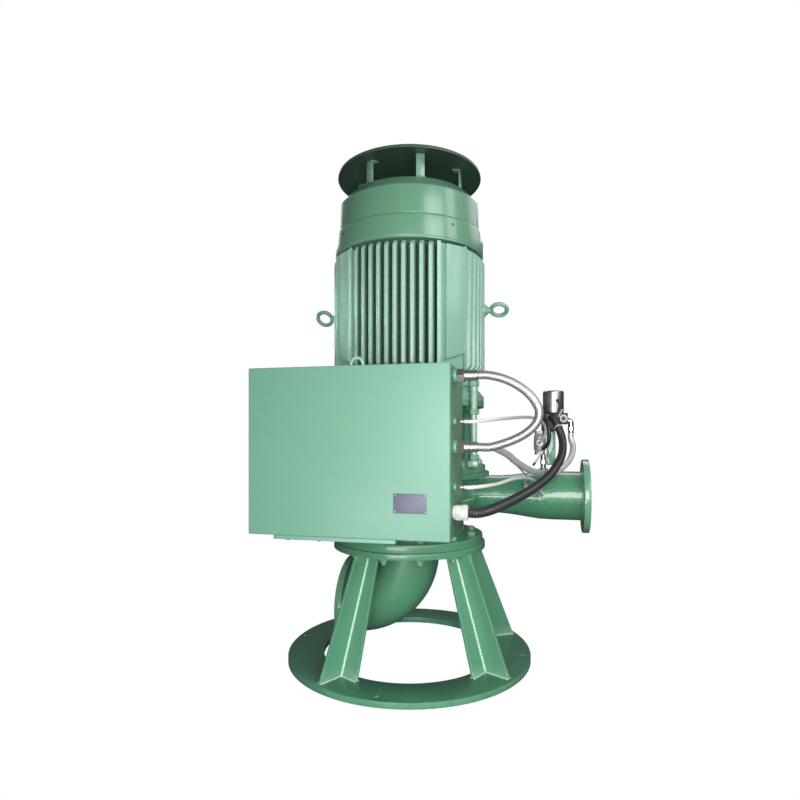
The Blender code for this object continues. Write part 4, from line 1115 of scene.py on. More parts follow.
place("casing_casting", build_casting(), "cast_enamel", "volute_casing", angle=50)


def parting_line():
    """The ridge that the two halves of the mould leave, round the barrel and along the branch."""
    around = [polar(BARREL_RADIUS - 0.0006, 5 * step, RIDGE_HEIGHT) for step in range(72)]
    ridges = [carried(around, RIDGE_SIZE, 8, closed=True)]
    for side in (-1, 1):
        line = [Vector((x, OUTLET_Y + side * (radius - 0.0014), RIDGE_HEIGHT))
                for x, radius in BRANCH_RADII if x < RIDGE_END]
        ridges.append(carried(line, [RIDGE_SIZE] * (len(line) - 1) + [RIDGE_SIZE / 3], 8))
    return together(*ridges)


RIDGE_HEIGHT, RIDGE_SIZE, RIDGE_END = 0.587, 0.0032, 0.45
# The ridge's pale finish is a painted highlight.
place("casing_parting_line", parting_line(), "bead_highlight_enamel", angle=80)

# %% Machined flanges of the casing
foot_low = plate_high.z + GAP
cover_low, cover_high = reach("casing_cover")
COVER_LOW, COVER_TOP, COVER_RADIUS = cover_low.z, 0.685, cover_high.x
place("casing_foot_flange", turned([
    (0, FOOT_FLANGE_TOP), (0.210, FOOT_FLANGE_TOP, 0.004), (0.275, FOOT_FLANGE_TOP, 0.003),
    (0.275, foot_low, 0.0015), (0, foot_low)], 128), "stand_enamel")
place("casing_top_flange", turned([
    (0, COVER_LOW - GAP), (0.262, COVER_LOW - GAP, 0.002), (0.262, 0.648, 0.004),
    (0.240, 0.642, 0.004), (0, 0.642)], 128), "stand_enamel")

# %% Outlet flange
outlet_place = aim((-1, 0, 0), (OUTLET_FACE, OUTLET_Y, BRANCH_HEIGHT))
# The flange's paler finish is a painted highlight.
place("outlet_flange_ring", together((drilled_flange(0.1425, OUTLET_BORE + 0.001, 0.120, 0.0115),
                                      outlet_place)), "flange_highlight_enamel", "discharge_flange")
branch_bead = [polar(OUTLET_PIPE + 0.001, 360 * n / 160, FLANGE_THICK + 0.001) for n in range(161)]
place("outlet_flange_fillet", together((carried(branch_bead[:-1], 0.0045, 10, closed=True),
                                        outlet_place)), "cast_enamel", angle=80)

# %% [markdown]
# The cover closes the casing and carries the shaft seal's housing. The
# stool stands on it: a short drum with a wide window at the front and one
# at the back, and a rib at each side between them.

# %% Cover
SEAL_TOP = cover_high.z
place("casing_cover_plate", turned([
    (0, SEAL_TOP), (0.060, SEAL_TOP, 0.002), (0.060, 0.722, 0.003), (0.095, 0.722, 0.003),
    (0.095, COVER_TOP, 0.004), (COVER_RADIUS, COVER_TOP, 0.002), (COVER_RADIUS, COVER_LOW, 0.002),
    (0, COVER_LOW)], 128), "stand_enamel", "casing_cover")

# %% Stool
STOOL_RADIUS, STOOL_INNER, STOOL_BASE_RADIUS, STOOL_BASE_TOP = 0.236, 0.200, 0.285, 0.710
STOOL_SHELF = 0.921
RIB_HALF, WINDOW_LOW, WINDOW_TOP = 16.3, 0.735, 0.896
STOOL_TOP = reach("stool_head")[1].z
MOTOR_FLANGE_RADIUS = reach("stool_head")[1].x


def build_stool():
    drum = turned([
        (MOTOR_FLANGE_RADIUS, STOOL_TOP), (MOTOR_FLANGE_RADIUS, STOOL_SHELF),
        (STOOL_RADIUS, STOOL_SHELF, 0.006), (STOOL_RADIUS, STOOL_BASE_TOP, 0.008),
        (STOOL_BASE_RADIUS, STOOL_BASE_TOP), (STOOL_BASE_RADIUS, COVER_TOP + GAP),
        (STOOL_INNER, COVER_TOP + GAP), (STOOL_INNER, STOOL_TOP)], 128, closed=True)
    slope = math.tan(math.radians(RIB_HALF))
    far = STOOL_BASE_RADIUS
    outline = [(-0.02, 0.02 * slope), (-far, far * slope), (-far, far), (far, far),
               (far, far * slope), (0.02, 0.02 * slope)]
    window = slab(outline, WINDOW_LOW, WINDOW_TOP)
    return eased(carved(drum, together((window, Matrix.Identity(4), spin(180)))), 0.0018)


place("stool_drum", build_stool(), "stool_enamel", "motor_stool", "stool_head")
place("stool_bolts", together(
    ring_of(bolt_head(0.024, stud=0.008), 8, 0.262, STOOL_BASE_TOP, 12),
    ring_of(bolt_head(0.024), 8, 0.2565, STOOL_SHELF, 22.5, flip=True),
), "stand_enamel")

# %% Coupling
coupling_low, coupling_high = reach("shaft_coupling")
place("coupling_halves", turned([
    (0, coupling_high.z), (0.036, coupling_high.z), (0.036, 0.896, 0.001), (0.058, 0.896, 0.002),
    (0.058, 0.871, 0.002), (0.086, 0.871, 0.002), (0.086, 0.831, 0.001), (0.080, 0.831),
    (0.080, 0.821), (0.086, 0.821, 0.001), (0.086, 0.781, 0.002), (0.058, 0.781, 0.002),
    (0.058, 0.759, 0.002), (0.030, 0.759, 0.001), (0.030, coupling_low.z), (0, coupling_low.z),
], 72), "dull_steel", "shaft_coupling")
place("coupling_bolts", together(ring_of(bolt_head(0.016, stud=0.004), 6, 0.071, 0.871, 15)),
      "machined_steel")

# %% [markdown]
# ## The motor
#
# The motor's frame is cast with straight fins, grouped on four sides and
# separated by flat pads at the corners. Every fin is its own lofted bar: it
# tapers outwards, its tip is rounded, and its ends slope back to the body.

# %% Motor end shield
shield_low, shield_high = reach("motor_end_shield")
place("end_shield", turned([
    (0, shield_high.z), (0.258, shield_high.z, 0.002), (0.258, 0.985, 0.006),
    (MOTOR_FLANGE_RADIUS, 0.960, 0.004), (MOTOR_FLANGE_RADIUS, shield_low.z, 0.002),
    (0, shield_low.z)], 128), "motor_enamel", "motor_end_shield")
place("motor_flange_nuts", together(
    ring_of(bolt_head(0.024, stud=0.006), 8, 0.2685, 0.966, 22.5)), "motor_enamel")

# %% Fins and pads
FRAME_CORE, FIN_RADIUS, FIN_LOW, FIN_HIGH = 0.242, 0.283, 1.045, 1.466
FIN_PITCH, FIN_GAP, FIN_TAPER, FINS_EACH_SIDE = 0.029, 0.0105, 0.0028, 5
PAD_FLAT, PAD_LEFT, PAD_RIGHT, PAD_LOW = 0.279, -0.026, 0.0505, 1.087
PAD_LEAN = 0.012
frame_low, frame_high = reach("motor_frame")
FRAME_TOP = frame_high.z


def fin(middle):
    """One fin on the front, standing out along -Y, its tip following the motor's round."""
    half = (FIN_PITCH - FIN_GAP) / 2
    tip = half - FIN_TAPER
    root = math.sqrt(FRAME_CORE ** 2 - middle ** 2) - 0.012
    sections = []
    for height, drop in ((FIN_LOW, 0.014), (FIN_LOW + 0.016, 0.0), (FIN_HIGH - 0.016, 0.0),
                         (FIN_HIGH, 0.014)):
        tips = [math.sqrt(FIN_RADIUS ** 2 - x ** 2) - drop
                for x in (middle - tip, middle + tip)]
        outline = softened([(middle - half, -root), (middle + half, -root),
                            (middle + tip, -tips[1], 0.0035),
                            (middle - tip, -tips[0], 0.0035)], closed=True, steps=4)
        sections.append([(x, y, height) for x, y in outline])
    return lofted(sections)


def fin_sides():
    turns = [spin(90 * side) for side in range(4)]
    middles = [FIN_PITCH * (number + 0.5) for number in range(-FINS_EACH_SIDE, FINS_EACH_SIDE)]
    return [(fin(middle), *turns) for middle in middles]


def corner_pads():
    """A flat pad at each corner with a recess on its left, and a slanting lower end."""
    wall = math.sqrt(2) * (FINS_EACH_SIDE * FIN_PITCH + FIN_GAP / 2)
    pads = []
    for corner, slant in ((45, 1), (135, -1), (225, 1), (315, -1)):
        foot = softened([(-(0.232 - wall), -0.232), (-(0.275 - wall), -0.275, 0.002),
                         (-0.048, -0.2785, 0.001), (-0.048, -0.262), (0.052, -0.262),
                         (0.052, -0.2770, 0.001), (0.275 - wall, -0.274, 0.002),
                         (0.232 - wall, -0.232)], closed=True)
        web = slab(foot, FIN_LOW, FIN_HIGH)
        outline = softened([(PAD_LEFT, PAD_LOW - slant * PAD_LEAN, 0.004),
                            (PAD_RIGHT, PAD_LOW + slant * PAD_LEAN, 0.004),
                            (PAD_RIGHT, FIN_HIGH - 0.004, 0.004),
                            (PAD_LEFT, FIN_HIGH - 0.004, 0.004)], closed=True)
        face = eased(slab(outline, 0.2, PAD_FLAT, Matrix.Rotation(math.pi / 2, 4, "X")), 0.0015)
        pads.append((together(web, face), spin(corner)))
    return pads


core = turned([(0, FRAME_TOP), (FRAME_CORE + 0.006, FRAME_TOP, 0.002), (FRAME_CORE + 0.006, 1.462),
               (FRAME_CORE, 1.456, 0.004), (FRAME_CORE, 1.052, 0.004), (FRAME_CORE + 0.006, 1.046),
               (FRAME_CORE + 0.006, frame_low.z, 0.002), (0, frame_low.z)], 128)
place("motor_core", core, "fin_enamel", "motor_frame")
place("motor_fins", together(*fin_sides()), "fin_enamel")
place("motor_corner_pads", together(*corner_pads()), "motor_enamel")

# %% [markdown]
# A sheet-metal band and the fan cowl close the motor's top. The cowl's edge
# is rolled over at the shoulder, and its top has a guard of wire rings over
# a dark opening. Four screws hold the band.

# %% Band and cowl
BAND_RADIUS, COWL_RADIUS = reach("cowl_band")[1].x, reach("fan_cowl")[1].x
BAND_TOP, COWL_TOP = reach("cowl_band")[1].z, reach("fan_cowl")[1].z
BAND_LOW = reach("cowl_band")[0].z
COWL_SHOULDER, COWL_TOP_RADIUS, GUARD_RADIUS = 1.654, 0.230, 0.168
place("cowl_band_sheet", turned([
    (0, BAND_TOP), (BAND_RADIUS - 0.004, BAND_TOP, 0.002), (BAND_RADIUS, BAND_TOP - 0.004, 0.002),
    (BAND_RADIUS, BAND_LOW + 0.008, 0.001), (BAND_RADIUS - 0.0015, BAND_LOW + 0.006, 0.001),
    (BAND_RADIUS - 0.0015, BAND_LOW, 0.001), (0, BAND_LOW)], 160), "cowl_enamel", "cowl_band")
place("fan_cowl_shell", turned([
    (0, COWL_TOP - 0.012), (GUARD_RADIUS, COWL_TOP - 0.012), (GUARD_RADIUS, COWL_TOP, 0.002),
    (COWL_TOP_RADIUS, COWL_TOP, 0.003), (COWL_RADIUS, COWL_SHOULDER, 0.0025),
    (COWL_RADIUS, BAND_TOP + 0.003, 0.001),
    (COWL_RADIUS - 0.002, BAND_TOP + GAP), (0, BAND_TOP + GAP)], 160), "cowl_enamel", "fan_cowl")


def guard():
    wires = []
    for number in range(8):
        radius = 0.028 + 0.0185 * number
        circle = [polar(radius, 360 * step / 72, COWL_TOP - 0.005) for step in range(72)]
        wires.append(carried(circle, 0.0018, 8, closed=True))
    for number in range(6):
        wires.append((carried([(0.01, 0, COWL_TOP - 0.007), (GUARD_RADIUS, 0, COWL_TOP - 0.007)],
                              0.0022, 8), spin(30 + 60 * number)))
    return together(*wires)


place("fan_guard", guard(), "dull_steel")
SCREW_HEIGHT = 1.530
screw = together(turned([(0, 0.0024), (0.0042, 0.0022, 0.001), (0.0058, 0, 0.001), (0, 0)], 24))
place("band_screws", together((screw, *[aim(polar(1, degrees), polar(BAND_RADIUS - 0.0004, degrees,
      SCREW_HEIGHT)) for degrees in (45, 135, 225, 315)])), "dull_steel")

# %% [markdown]
# The rain cap is a shallow cone of thin sheet with its rim turned down. Six
# strips hold it above the cowl, each with a bent tab at its foot and head.

# %% Rain cap
CAP_RADIUS = reach("rain_cap")[1].x
cap_low, cap_high = reach("rain_cap")
CAP_SHEET, CAP_LIP = 0.004, 0.010
CAP_EDGE = cap_low.z + CAP_LIP
CAP_SLOPE = (cap_high.z - CAP_EDGE) / CAP_RADIUS
place("rain_cap_sheet", turned([
    (0, cap_high.z), (CAP_RADIUS, CAP_EDGE, 0.003), (CAP_RADIUS, cap_low.z, 0.001),
    (CAP_RADIUS - CAP_SHEET, cap_low.z, 0.001), (CAP_RADIUS - CAP_SHEET, CAP_EDGE - CAP_SHEET, 0.002),
    (0, cap_high.z - CAP_SHEET)], 160), "cap_enamel", "rain_cap")

# %% Struts of the cap
STRUT_CIRCLE, STRUT_ANGLES = 0.200, (-66, -8, 54, 114, 176, 239)
for number, degrees in enumerate(STRUT_ANGLES):
    node = f"cap_strut_{number + 1}"
    strut_top = reach(node)[1].z
    tilt = Matrix.Rotation(math.atan(CAP_SLOPE), 4, "Y")
    bar = block((-0.0025, -0.015, COWL_TOP + GAP), (0.0025, 0.015, strut_top), 0.0008)
    foot_tab = block((-0.0025, -0.015, COWL_TOP + GAP), (0.024, 0.015, COWL_TOP + 0.0045), 0.0008)
    head_tab = block((-0.026, -0.015, -0.004), (0.0, 0.015, 0), 0.0008)
    mesh = together(bar, foot_tab, (head_tab, move(z=strut_top) @ tilt),
                    (bolt_head(0.010), move(x=0.014, z=COWL_TOP + 0.0045)))
    mesh.transform(move(*polar(STRUT_CIRCLE, degrees)) @ spin(degrees))
    place(f"cap_strip_{number + 1}", mesh, "cowl_enamel", node)

# %% [markdown]
# Two forged lifting eyes screw into bosses at the motor's sides, and a small
# one stands on the box. The ring is a closed loop of bar, and the shank
# flares into its collar.

# %% Lifting eyes
EYE_HEIGHT, BOSS_END, BOSS_RADIUS = 1.278, 0.288, 0.024
MOTOR_EYES = (("eyebolt_right", 0, 0.3365, 57), ("eyebolt_left", 180, 0.342, -42))
MOTOR_EYE = (0.0285, 0.0075, 0.0105, 0.0165, 0.009)
BOX_EYE = (0.0190, 0.0052, 0.0065, 0.0115, 0.004)
BOX_EYE_PLACE = (-0.072, -0.4065)


def lifting_eye(foot, centre, across, sizes):
    ring, wire, shank, collar, collar_length = sizes
    way = (centre - foot).normalized()
    loop = []
    for step in range(48):
        angle = math.tau * step / 48
        loop.append(centre + ring * (math.cos(angle) * way + math.sin(angle) * across))
    length = (centre - foot).length - ring
    stem = turned([(0, 0), (collar, 0, 0.001), (collar, 0.8 * collar_length, 0.002),
                   (shank + 0.001, collar_length, 0.003), (shank, length, 0.001), (0, length)],
                  32, matrix=aim(way, foot + GAP * way))
    return together(carried(loop, wire, 20, closed=True), stem)


bosses = []
for name, degrees, circle, lean in MOTOR_EYES:
    across = Matrix.Rotation(math.radians(lean), 3, polar(1, degrees)) @ Vector((0, 0, 1))
    place(f"{name}_forging", lifting_eye(polar(BOSS_END, degrees, EYE_HEIGHT),
                                         polar(circle, degrees, EYE_HEIGHT), across, MOTOR_EYE),
          "motor_enamel", name)
    bosses.append(turned([(0, 0), (BOSS_RADIUS + 0.004, 0, 0.004), (BOSS_RADIUS, BOSS_END - 0.2, 0.004),
                          (0, BOSS_END - 0.2)], 40,
                         matrix=aim(polar(1, degrees), polar(0.2, degrees, EYE_HEIGHT))))
place("eye_bosses", together(*bosses), "motor_enamel")
box_low, box_high = reach("control_box")
# The small eye's pale finish is a painted highlight.
place("eyebolt_box_forging", lifting_eye(
    Vector((*BOX_EYE_PLACE, box_high.z)), Vector((*BOX_EYE_PLACE, box_high.z + 0.0232)),
    Vector((1, 0, 0)), BOX_EYE), "eye_highlight_enamel", "eyebolt_box")

# %% [markdown]
# ## The control box
#
# The box is folded from sheet. Its front is a shallow tray that slides over
# the body, so there is a thin seam round it a few centimetres back, and the
# folded corners are slightly rounded. A joggled strip below the front hides
# its fixing screws. The plate on the front is left without any print.

# %% Box body and front tray
TRAY_DEPTH, SEAM = 0.030, 0.0012


# The body's sides carry the darker, painted-shade copy of the box's green.
place("box_body", block((box_low.x + SEAM, box_low.y + 0.004, box_low.z + SEAM),
                        (box_high.x - SEAM, box_high.y, box_high.z - SEAM), 0.0025, 3),
      "box_side_shade_enamel", "control_box")
place("box_front_tray", block(box_low, (box_high.x, box_low.y + TRAY_DEPTH, box_high.z), 0.0035, 4),
      "box_enamel")
strip_low, strip_high = reach("box_bottom_strip")
strip_screws = [move(strip_low.x + 0.04 + share * (strip_high.x - strip_low.x - 0.08),
                     strip_low.y + 0.015, strip_low.z) @ Matrix.Rotation(math.pi, 4, "X")
                for share in (0, 0.333, 0.667, 1)]
place("box_strip", together(block(strip_low, strip_high, 0.0012)), "box_enamel", "box_bottom_strip")
place("box_strip_screws", together((bolt_head(0.008), *strip_screws)), "dull_steel")

# %% Blank plate with four rivets
PLATE_SIZE = (0.095, 0.0555)
PLATE_PLACE = (0.1335, 0.630)


def rivet():
    return turned([(0, 0.0016), (0.0016, 0.0014, 0.0006), (0.0026, 0, 0.0004), (0, 0)], 20)


plate_x, plate_z = PLATE_PLACE
half_x, half_z = PLATE_SIZE[0] / 2, PLATE_SIZE[1] / 2
place("blank_plate", block((plate_x - half_x, box_low.y - 0.0009, plate_z - half_z),
                           (plate_x + half_x, box_low.y + 0.001, plate_z + half_z), 0.0004),
      "plate_print")
rivet_spots = [aim((0, -1, 0), (plate_x + sx * (half_x - 0.005), box_low.y - 0.0009,
                                plate_z + sz * (half_z - 0.005)))
               for sx in (-1, 1) for sz in (-1, 1)]
place("plate_rivets", together((rivet(), *rivet_spots)), "bright_steel")

# %% Box brackets
bracket_parts = []
for node in ("box_bracket_upper", "box_bracket_lower"):
    low, high = reach(node)
    thick = 0.008
    flat = (high.z - thick, high.z) if node == "box_bracket_upper" else (low.z, low.z + thick)
    bracket_parts = [block((low.x, low.y, flat[0]), (high.x, high.y, flat[1]), 0.001),
                     block((low.x, low.y, low.z), (high.x, low.y + thick, high.z), 0.001)]
    place(f"{node}_angle", together(*bracket_parts), "stand_enamel", node)

# %% [markdown]
# Each fitting on the box's side is a painted bush, a hexagon and a crimped
# ferrule on the hose's end. They are turned in steps along +X from the same
# sizes as the plain solids.

# %% Fittings on the box
ALONG_X = (1, 0, 0)
FITTINGS = {
    "hose_fitting_top": (PORT_Y, 0.986, 0.0190, 0.0355, 0.0150, 0.256, 0.277),
    "hose_fitting_middle": (PORT_Y, 0.786, 0.0190, 0.0355, 0.0150, 0.256, 0.277),
    "hose_fitting_back": (BACK_PORT_Y, 0.784, 0.0165, 0.0303, 0.0130, 0.256, 0.272),
    "tube_fitting_upper": (PORT_Y, 0.857, 0.0110, 0.0182, 0.0075, 0.254, 0.266),
    "tube_fitting_lower": (PORT_Y, 0.673, 0.0110, 0.0182, 0.0075, 0.254, 0.266),
    "tube_fitting_back": (THIN_PORT_Y, 0.775, 0.0080, 0.0138, 0.0050, 0.254, 0.264),
}
bushes = []
for node, (y, height, bush, across, sleeve, bush_end, nut_end) in FITTINGS.items():
    low, high = reach(node)
    start, end = low.x, high.x
    seat = aim(ALONG_X, (0, y, height))
    bushes.append(turned([(0, start), (bush, start, 0.001), (bush, bush_end, 0.0012),
                          (0, bush_end)], 40, matrix=seat))
    crimps = []
    for step in range(2):
        middle = nut_end + (end - nut_end) * (0.36 + 0.34 * step)
        crimps += [(sleeve, middle - 0.0014, 0.0005), (sleeve - 0.0004, middle - 0.0006, 0.0005),
                   (sleeve - 0.0004, middle + 0.0006, 0.0005), (sleeve, middle + 0.0014, 0.0005)]
    ferrule = turned([(0, nut_end - 0.001), (sleeve, nut_end - 0.001), *crimps,
                      (sleeve, end, 0.0012), (0, end)], 40, matrix=seat)
    nut = hexagon(across, nut_end - bush_end + 0.001, both_ends=True)
    nut.transform(seat @ move(z=bush_end - 0.0005))
    place(f"{node}_steel", together(nut, ferrule), "machined_steel", node)
place("port_bushes", together(*bushes), "bush_enamel")
plug = turned([(0, box_high.x), (0.0105, box_high.x, 0.001), (0.0105, box_high.x + 0.007, 0.003),
               (0, box_high.x + 0.009)], 32, matrix=aim(ALONG_X, (0, -0.463, box_high.z - 0.013)))
place("box_side_plug", plug, "bush_enamel")

# %% Cable gland
gland_low, gland_high = reach("cable_gland")
gland_seat = aim(ALONG_X, (0, PORT_Y, 0.602))
dome = turned([(0, gland_high.x), (0.0150, gland_high.x, 0.001), (0.0190, gland_high.x - 0.002, 0.003),
               (0.0215, gland_high.x - 0.010, 0.003), (0.0215, 0.267), (0, 0.267)], 48,
              matrix=gland_seat)
grips = []
for number in range(16):
    grip = block((0.0195, -0.0018, 0.270), (0.0222, 0.0018, gland_high.x - 0.004), 0.0006)
    grips.append((grip, gland_seat @ spin(22.5 * number)))
gland_nut = hexagon(0.0407, 0.016, both_ends=True)
gland_nut.transform(gland_seat @ move(z=0.252))
washer = turned([(0, gland_low.x), (0.020, gland_low.x, 0.001), (0.020, 0.2525, 0.001), (0, 0.2525)],
                40, matrix=gland_seat)
place("cable_gland_body", together(dome, gland_nut, washer, *grips), "white_moulding", "cable_gland")

# %% [markdown]
# ## The valve
#
# A small priming valve stands on the outlet branch: a nipple, a cast body
# with a hand lever, an electric actuator in a black housing and a bright
# can on top. A black latch hangs from a knob on the can, and a pale clip
# holds the can's foot.

# %% Nipple, valve body and lever
nipple_low, nipple_high = reach("valve_nipple")
NIPPLE_X = (nipple_low.x + nipple_high.x) / 2
upright = move(NIPPLE_X, OUTLET_Y)
nipple = turned([(0, nipple_low.z), (0.0105, nipple_low.z), (0.0105, nipple_high.z), (0, nipple_high.z)],
                32, matrix=upright)
nipple_nut = hexagon(0.0211, 0.016, both_ends=True)
nipple_nut.transform(upright @ move(z=0.706))
socket = turned([(0.0105, nipple_low.z - 0.004), (0.020, nipple_low.z - 0.004, 0.002),
                 (0.0175, nipple_low.z + 0.010, 0.002), (0.0105, nipple_low.z + 0.010)], 32,
                closed=True, matrix=upright)
place("valve_nipple_pipe", together(nipple, nipple_nut), "bright_steel", "valve_nipple")
place("branch_socket", socket, "cast_enamel")
body_x = (valve_low.x + valve_high.x) / 2
body_z = (valve_low.z + valve_high.z) / 2
barrel = turned([(0, valve_low.z), (0.019, valve_low.z, 0.002), (0.019, valve_low.z + 0.012, 0.003),
                 (0.0235, valve_low.z + 0.024, 0.008), (0.0235, valve_high.z - 0.024, 0.008),
                 (0.019, valve_high.z - 0.012, 0.003), (0.019, valve_high.z, 0.002),
                 (0, valve_high.z)], 48, matrix=move(body_x, OUTLET_Y))
cross = turned([(0, valve_low.y), (0.0150, valve_low.y, 0.002), (0.0150, valve_low.y + 0.010, 0.003),
                (0.0175, OUTLET_Y, 0.006), (0.0150, valve_high.y - 0.010, 0.003),
                (0.0150, valve_high.y, 0.002), (0, valve_high.y)], 40,
               matrix=move(body_x, 0, body_z) @ aim((0, 1, 0)))
caps = [(hexagon(0.036, 0.010), move(body_x, OUTLET_Y, valve_low.z)),
        (hexagon(0.036, 0.010), move(body_x, OUTLET_Y, valve_high.z - 0.010))]
valve_mesh = applied(together(barrel, cross), ("REMESH", {"mode": "VOXEL", "voxel_size": 0.0011}),
                     ("SMOOTH", {"factor": 0.5, "iterations": 5}))
place("valve_body_casting", together(valve_mesh, *caps), "cast_steel", "valve_body")
LEVER_Y = valve_low.y + 0.010
lever_line = [(0.500, LEVER_Y, 0.7660), (0.496, LEVER_Y - 0.001, 0.7600), (0.4640, LEVER_Y - 0.004, 0.7115)]
place("valve_lever_arm", carried(lever_line, 0.0036, 12), "bright_steel")
place("valve_lever_grip", carried([lever_line[-1], (0.4560, LEVER_Y - 0.005, 0.6990)], 0.0046, 12),
      "black_moulding")

# %% Actuator
bracket_low, bracket_high = reach("valve_bracket")
place("valve_bracket_plate", block(bracket_low, bracket_high, 0.003, 3), "cast_enamel",
      "valve_bracket")
lid_line = housing_low.z + 0.045
place("actuator_case", together(
    block(housing_low, (housing_high.x, housing_high.y, lid_line - 0.0004), 0.006, 4),
    block((housing_low.x, housing_low.y, lid_line + 0.0004), housing_high, 0.006, 4),
    block((housing_low.x + 0.002, housing_low.y + 0.002, lid_line - 0.004),
          (housing_high.x - 0.002, housing_high.y - 0.002, lid_line + 0.004)),
), "black_moulding", "actuator_housing")
cylinder_low, cylinder_high = reach("actuator_cylinder")
CYLINDER_RADIUS = (cylinder_high.x - cylinder_low.x) / 2
cylinder_place = move((cylinder_low.x + cylinder_high.x) / 2, OUTLET_Y)
place("actuator_can", turned([
    (0, cylinder_high.z), (CYLINDER_RADIUS - 0.004, cylinder_high.z, 0.002),
    (CYLINDER_RADIUS, cylinder_high.z - 0.004, 0.003), (CYLINDER_RADIUS, cylinder_low.z + 0.006, 0.001),
    (CYLINDER_RADIUS - 0.0012, cylinder_low.z + 0.005, 0.001),
    (CYLINDER_RADIUS - 0.0012, cylinder_low.z, 0.001), (0, cylinder_low.z)], 96,
    matrix=cylinder_place), "can_steel", "actuator_cylinder")
can_x = (cylinder_low.x + cylinder_high.x) / 2


def can_side(degrees, height, out):
    """A point off the side of the can, above its foot."""
    return polar(CYLINDER_RADIUS + out, degrees, cylinder_low.z + height) + Vector((can_x, OUTLET_Y, 0))


KNOB_TURN, KNOB_HEIGHT = -70, 0.046
place("can_knob", turned([(0, 0), (0.0062, 0, 0.0006), (0.0062, 0.0050, 0.0012), (0.0030, 0.0065, 0.0008),
                          (0, 0.0065)], 28, matrix=aim(polar(1, KNOB_TURN), can_side(
                              KNOB_TURN, KNOB_HEIGHT, -0.0005))), "black_moulding")
latch_line = smooth_route([can_side(KNOB_TURN, KNOB_HEIGHT, 0.0025), can_side(-61, 0.038, 0.0025),
                           can_side(-57, 0.029, 0.0025), can_side(-59, 0.017, 0.0025),
                           can_side(-66, 0.007, 0.0025)], 0.002)
place("can_latch", carried(latch_line, 0.0026, 12), "black_moulding")
clip_line = smooth_route([(0.552, HOUSING_FRONT - 0.0025, 0.890), (0.557, HOUSING_FRONT - 0.0030, 0.900),
                          (0.563, 0.1830, 0.911), (0.567, 0.1870, 0.919)], 0.002)
place("can_clip", carried(clip_line, 0.0027, 12), "white_moulding")
place("case_screws", together((bolt_head(0.0065), *[
    aim((0, -1, 0), (housing_low.x + dx, housing_low.y, housing_high.z - 0.008))
    for dx in (0.008, 0.046)])), "white_moulding")

# %% Actuator port
PORT_BLOCK_RIGHT, PORT_BLOCK_LOW, PORT_BLOCK_BACK = 0.588, 0.862, OUTLET_Y + 0.014
port_middle = (0.5715, port_low.y, (PORT_BLOCK_LOW + port_high.z) / 2)
port_block = block((port_low.x, port_low.y + 0.002, PORT_BLOCK_LOW),
                   (PORT_BLOCK_RIGHT, PORT_BLOCK_BACK, port_high.z), 0.003, 3)
port_arm = turned([(0, PORT_BLOCK_RIGHT - 0.003), (0.0115, PORT_BLOCK_RIGHT - 0.003),
                   (0.0115, PORT_ELBOW_X), (0, PORT_ELBOW_X)], 32,
                  matrix=aim(ALONG_X, (0, PORT_ELBOW_Y, PORT_ELBOW_Z)))
bend = [Vector((PORT_ELBOW_X - 0.011 + 0.011 * math.sin(math.radians(15 * step)), PORT_ELBOW_Y,
                PORT_ELBOW_Z - 0.011 + 0.011 * math.cos(math.radians(15 * step))))
        for step in range(7)]
port_leg = carried([(PORT_BLOCK_RIGHT - 0.004, PORT_ELBOW_Y, PORT_ELBOW_Z), *bend,
                    (PORT_ELBOW_X, PORT_ELBOW_Y, 0.850)], 0.0108, 32)
place("actuator_port_block", together(port_block), "black_moulding", "actuator_port")
port_nut = hexagon(0.0205, 0.014, both_ends=True)
port_nut.transform(move(PORT_ELBOW_X, PORT_ELBOW_Y, 0.838))
port_tail = turned([(0, PORT_ELBOW_END), (0.0105, PORT_ELBOW_END, 0.001), (0.0105, 0.839, 0.001),
                    (0, 0.839)], 32, matrix=move(PORT_ELBOW_X, PORT_ELBOW_Y))
place("port_elbow_fitting", together(port_leg, port_nut, port_tail), "bright_steel")
port_ring = turned([(0.0085, 0), (0.0150, 0, 0.001), (0.0150, 0.0045, 0.002), (0.0120, 0.0055, 0.001),
                    (0.0085, 0.0030, 0.001)], 40, closed=True,
                   matrix=aim((0, 1, 0), port_middle))
place("port_ring", port_ring, "white_moulding")

# %% Tappings on the branch
for node, foot, tip, way in (("sensing_tapping", SENSING_FOOT, SENSING_TIP, SENSING_WAY),
                             ("drain_tapping", DRAIN_FOOT, DRAIN_TIP, DRAIN_WAY)):
    length = (tip - foot).length
    stem = turned([(0, 0), (0.0085, 0, 0.001), (0.0085, length - 0.004, 0.001),
                   (0.0070, length, 0.001), (0, length)], 28, matrix=aim(way, foot))
    nut = hexagon(0.0199, 0.009, both_ends=True)
    nut.transform(aim(way, foot + way * 0.004))
    place(f"{node}_union", together(stem, nut), "machined_steel", node)

# %% [markdown]
# A flush pipe climbs beside the stool and turns in to the motor's end
# shield. It ends in a small block at its foot.

# %% Flush pipe
pipe_low, pipe_high = reach("flush_pipe")
pipe_spot = polar(0.2975, -28.7)
pipe = carried([pipe_spot + Vector((0, 0, 0.728)), pipe_spot + Vector((0, 0, pipe_high.z))], 0.0115, 32)
spur = carried([polar(0.2588, -28.7, 1.0), pipe_spot + Vector((0, 0, 1.0))], 0.0095, 24)
foot_block = block((pipe_spot.x - 0.02, pipe_spot.y - 0.016, pipe_low.z),
                   (pipe_spot.x + 0.016, pipe_spot.y + 0.016, 0.732), 0.003)
place("flush_pipe_run", together(pipe, spur, foot_block), "pipe_enamel", "flush_pipe")
union = hexagon(0.033, 0.020, both_ends=True)
union_low, union_mid, union_top = 0.7330, 0.8900, 0.9860
place("flush_pipe_unions", together((union, *[
    Matrix.Translation(pipe_spot + Vector((0, 0, height))) for height in (union_low, union_mid, union_top)])),
    "bush_enamel")

